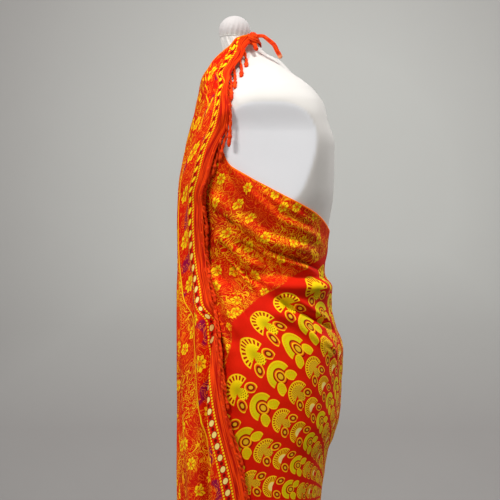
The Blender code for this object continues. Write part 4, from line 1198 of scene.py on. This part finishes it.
def tassel_paths(point, first, last, outward, seed):
    """Each tassel's line: near the neck straight down, lower down along the edge, a little outside it."""
    draw = np.random.default_rng(seed)
    down = np.linspace(0, 1, 1201)
    edge = point(np.ones(1201), down)
    gone = walked(edge, 0)
    start, end = np.interp((first, last), down, gone) + (0.004, -0.01)
    change = min(start + NECK_FRINGE_LENGTH, end)
    roots = np.concatenate([np.arange(start, change, NECK_SPACING), np.arange(change, end, TASSEL_SPACING)])
    roots = roots + draw.uniform(-0.003, 0.003, len(roots))
    fall = np.linspace(0, 1.5 * NECK_TASSEL_LENGTH, 80)[None, :]
    at = roots[:, None] + fall
    beside = along_line(at, gone, edge)
    beside[..., 2] -= np.maximum(at - gone[-1], 0)
    hung = beside[:, :1] + np.stack([0 * at, 0 * at, -fall + 0 * at], axis=-1)
    share = smooth_step(np.interp(roots, gone, down), 0.28, 0.46)[:, None, None]
    line = hung * (1 - share) + beside * share
    x, y, z = line[..., 0], line[..., 1] - centre_y(line[..., 2]), line[..., 2]
    slid = x
    for _ in range(6):
        facing = np.degrees(np.arctan2(slid, y))
        cover = surface_radius(np.where(facing < -20, facing + 360, facing), z) + TASSEL_RADIUS * 1.2
        slid = np.sign(x) * np.sqrt(np.maximum(cover**2 - y**2, x**2))
    x = x + (slid - x) * (1 - share[..., 0])
    reach = np.hypot(x, y)
    t = fall / fall.max()
    sway = draw.uniform(-1, 1, (len(roots), 1)) * 0.0035 * t * (1 - 0.75 * share[..., 0])
    aside = draw.uniform(-0.0045, 0.0020, (len(roots), 1)) * share[..., 0]
    offset = TASSEL_OFFSET * smooth_step(t, 0, 0.25) * (1 - share[..., 0]) - 0.0012 + sway + aside
    angle = np.degrees(np.arctan2(x, y)) + outward * np.degrees(offset / reach)
    angle = np.where(angle < -20, angle + 360, angle)
    sunk = reach - 0.007 * smooth_step(t, 0.02, 0.3) * share[..., 0]
    floor = surface_radius(angle, z) + TASSEL_RADIUS * 1.2
    lines = on_body(angle, z, np.maximum(sunk, floor))
    lengths = NECK_TASSEL_LENGTH + (TASSEL_LENGTH - NECK_TASSEL_LENGTH) * share[:, 0, 0]
    lengths = lengths * draw.uniform(0.75, 1.15, len(roots))
    paths = [
        along_line(np.linspace(0, length, TASSEL_STEPS), walked(path, 0), path)
        for path, length in zip(lines, lengths)
    ]
    return np.array(paths), draw.uniform(0, 2 * math.pi, (len(roots), 1, 1))


def tassel_radius(phase):
    """Two twisted plies, a knot near the end and a frayed tip; and how deep each point lies in a groove,
    where painted shade darkens it.
    """
    t = np.linspace(0, 1, TASSEL_STEPS)[None, :, None]
    turn = (np.arange(TASSEL_SIDES) * 2 * math.pi / TASSEL_SIDES)[None, None, :]
    plies = np.cos(2 * (turn - TASSEL_TURNS * 2 * math.pi * t / 2 + phase))
    knot = np.exp(-(((t - TASSEL_KNOT) / 0.045) ** 2))
    frayed = smooth_step(t, TASSEL_KNOT + 0.03, TASSEL_KNOT + 0.1)
    body = 0.86 + 0.14 * smooth_step(t, 0, 0.2) + 0.75 * knot + 0.30 * frayed
    body = body * (1 - 0.55 * smooth_step(t, 0.93, 1))
    threads = 0.16 * np.cos(5 * turn + 3 * phase) * frayed
    shape = body * (1 + 0.24 * plies * (1 - knot) * (1 - frayed) + threads)
    return TASSEL_RADIUS * shape, np.clip(-plies, 0, 1) * (1 - frayed)


fringe = Finish("twisted_fringe", Roughness=0.75, Specular_IOR_Level=0.12)
fringe_place = fringe.place()
fringe_tone = fringe.noise(fringe_place, 160.0, 3.0)
fringe_colour = fringe.layers(
    fringe.mix(fringe_tone.above(0.5, 0.5), (216, 34, 4), (246, 84, 12)),
    # Painted shade: the grooves between the tassels' plies and the hollows of the knot and tails are
    # darkened.
    (fringe.kept("groove") * 0.4, (158, 12, 2)),
    (fringe.kept("pale"), (240, 150, 104)),
)
strand = fringe.noise(fringe_place, 1400.0, 2.0)
fringe.wear(fringe_colour, 0.66 + fringe_tone * 0.2, fringe.bump(strand, 0.0004, 0.8))


def add_fringe(name, point, ends, outward, seed, replaced):
    """One edge's tassels as one piece."""
    paths, phase = tassel_paths(point, *ends, outward, seed)
    radius, groove_shade = tassel_radius(phase)
    aside = paths[:, :1] * (1, 1, 0) + 0 * paths
    piece = add_tubes(name, paths, radius, aside, fringe.material, groove=groove_shade, pale=0 * groove_shade)
    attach(piece, "root")
    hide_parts(replaced)
    return piece


over_fringe = add_fringe("tassels_over_panel", over_point, OVER_FRINGE, -1, FRINGE_SEED, "over_panel_fringe")
under_fringe = add_fringe(
    "tassels_under_panel", under_point, UNDER_FRINGE, 1, FRINGE_SEED + 1, "under_panel_fringe"
)

# ---- Knot behind the neck ----
# The cloth's two upper corners, rolled to cords and tied in one tight flat knot at the left of the nape.
# Their unprinted ends stick out of it: a long one that arches over the shoulder and a short one below.

KNOT_CENTRE = (0.0370, -0.0330, 1.5752)
KNOT_SIZE = (0.0180, 0.0225, 0.0262)
BAND_TILT = (0.10, 0.42, 0.90)
BAND_HALF_WIDTH = 0.36
TAIL_RADIUS = 0.0036
LONG_TAIL = (
    (0.0385, -0.0250, 1.5795),
    (0.0425, -0.0160, 1.5785),
    (0.0470, -0.0075, 1.5728),
    (0.0490, 0.0035, 1.5622),
    (0.0485, 0.0108, 1.5495),
    (0.0470, 0.0155, 1.5395),
)
SHORT_TAIL = (
    (0.0388, -0.0325, 1.5690),
    (0.0430, -0.0295, 1.5625),
    (0.0480, -0.0262, 1.5545),
)


def knot_points():
    """An ellipsoid whose radius grows under the outer turn of cloth and ripples with its gathers; with how
    much painted shade lies in its grooves and hollows.
    """
    rise = np.linspace(-math.pi / 2 + 0.03, math.pi / 2 - 0.03, 90)[:, None]
    turn = (np.arange(140) * 2 * math.pi / 140)[None, :]
    level = np.cos(rise)
    way = np.stack([level * np.sin(turn), level * np.cos(turn), np.sin(rise) + 0 * turn], axis=-1)
    tilt = np.array(BAND_TILT) / np.linalg.norm(BAND_TILT)
    over = way @ tilt
    across = way @ np.array([0.2, -0.9, 0.4])
    band = 1 - smooth_step(np.abs(over), BAND_HALF_WIDTH - 0.07, BAND_HALF_WIDTH)
    gathers = band * np.sin(over * 24 + 2 * across) + (1 - band) * np.sin(across * 19 + 3 * over)
    swell = 0.80 + 0.13 * band + 0.035 * gathers
    groove = np.exp(-(((np.abs(over) - BAND_HALF_WIDTH - 0.03) / 0.06) ** 2))
    swell = swell - 0.07 * groove
    points = np.array(KNOT_CENTRE) + way * swell[..., None] * np.array(KNOT_SIZE) / 2 * 1.08
    # Painted shade for the groove beside the band and the hollows of the gathers.
    return points, np.clip(groove + 0.4 * np.clip(-gathers, 0, 1), 0, 1)


knot_grid, knot_groove_shade = knot_points()
knot_ends = np.stack([knot_grid[0].mean(axis=0), knot_grid[-1].mean(axis=0)])
plain = np.zeros(knot_groove_shade.shape)
knot = add_closed("neck_knot_cloth", knot_grid, knot_ends, fringe.material, groove=knot_groove_shade, pale=plain)
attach(knot, "root")
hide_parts("neck_knot")


def add_tail(name, route, turns, pale_from, replaced):
    """A rolled corner: a tube round a cubic through its route, eased, with the roll's edges winding round."""
    route = np.array(route)
    keys = walked(route, 0)
    t = np.linspace(0, 1, 90)
    path = np.stack([smooth_through(keys, route[:, k], t * keys[-1]) for k in range(3)], axis=-1)
    for _ in range(12):
        path[1:-1] = (path[:-2] + 2 * path[1:-1] + path[2:]) / 4
    turn = (np.arange(48) * 2 * math.pi / 48)[None, :]
    wound = turn - turns * 2 * math.pi * t[:, None]
    folds = 0.13 * np.cos(3 * wound) + 0.05 * np.cos(8 * wound + 1.0)
    girth = TAIL_RADIUS * (0.82 + 0.2 * smooth_step(t, 0.1, 0.55) - 0.5 * smooth_step(t, 0.965, 1))[:, None]
    radius = girth * (1 + folds)
    # Painted shade: the hollows between the roll's folds are darkened.
    groove_shade = np.clip(-folds * 7, 0, 1)
    pales = smooth_step(t, pale_from, pale_from + 0.08)[:, None] + 0 * radius
    aside = np.broadcast_to(np.array([1.0, 0.2, 0.1]), path.shape)[None]
    kept = {"groove": groove_shade[None], "pale": pales[None]}
    piece = add_tubes(name, path[None], radius[None], aside, fringe.material, **kept)
    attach(piece, "root")
    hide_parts(replaced)
    return piece


long_tail = add_tail("knot_tail_over_shoulder", LONG_TAIL, 0.8, 0.86, "knot_tail_long")
short_tail = add_tail("knot_tail_below", SHORT_TAIL, 0.4, 2.0, "knot_tail_short")
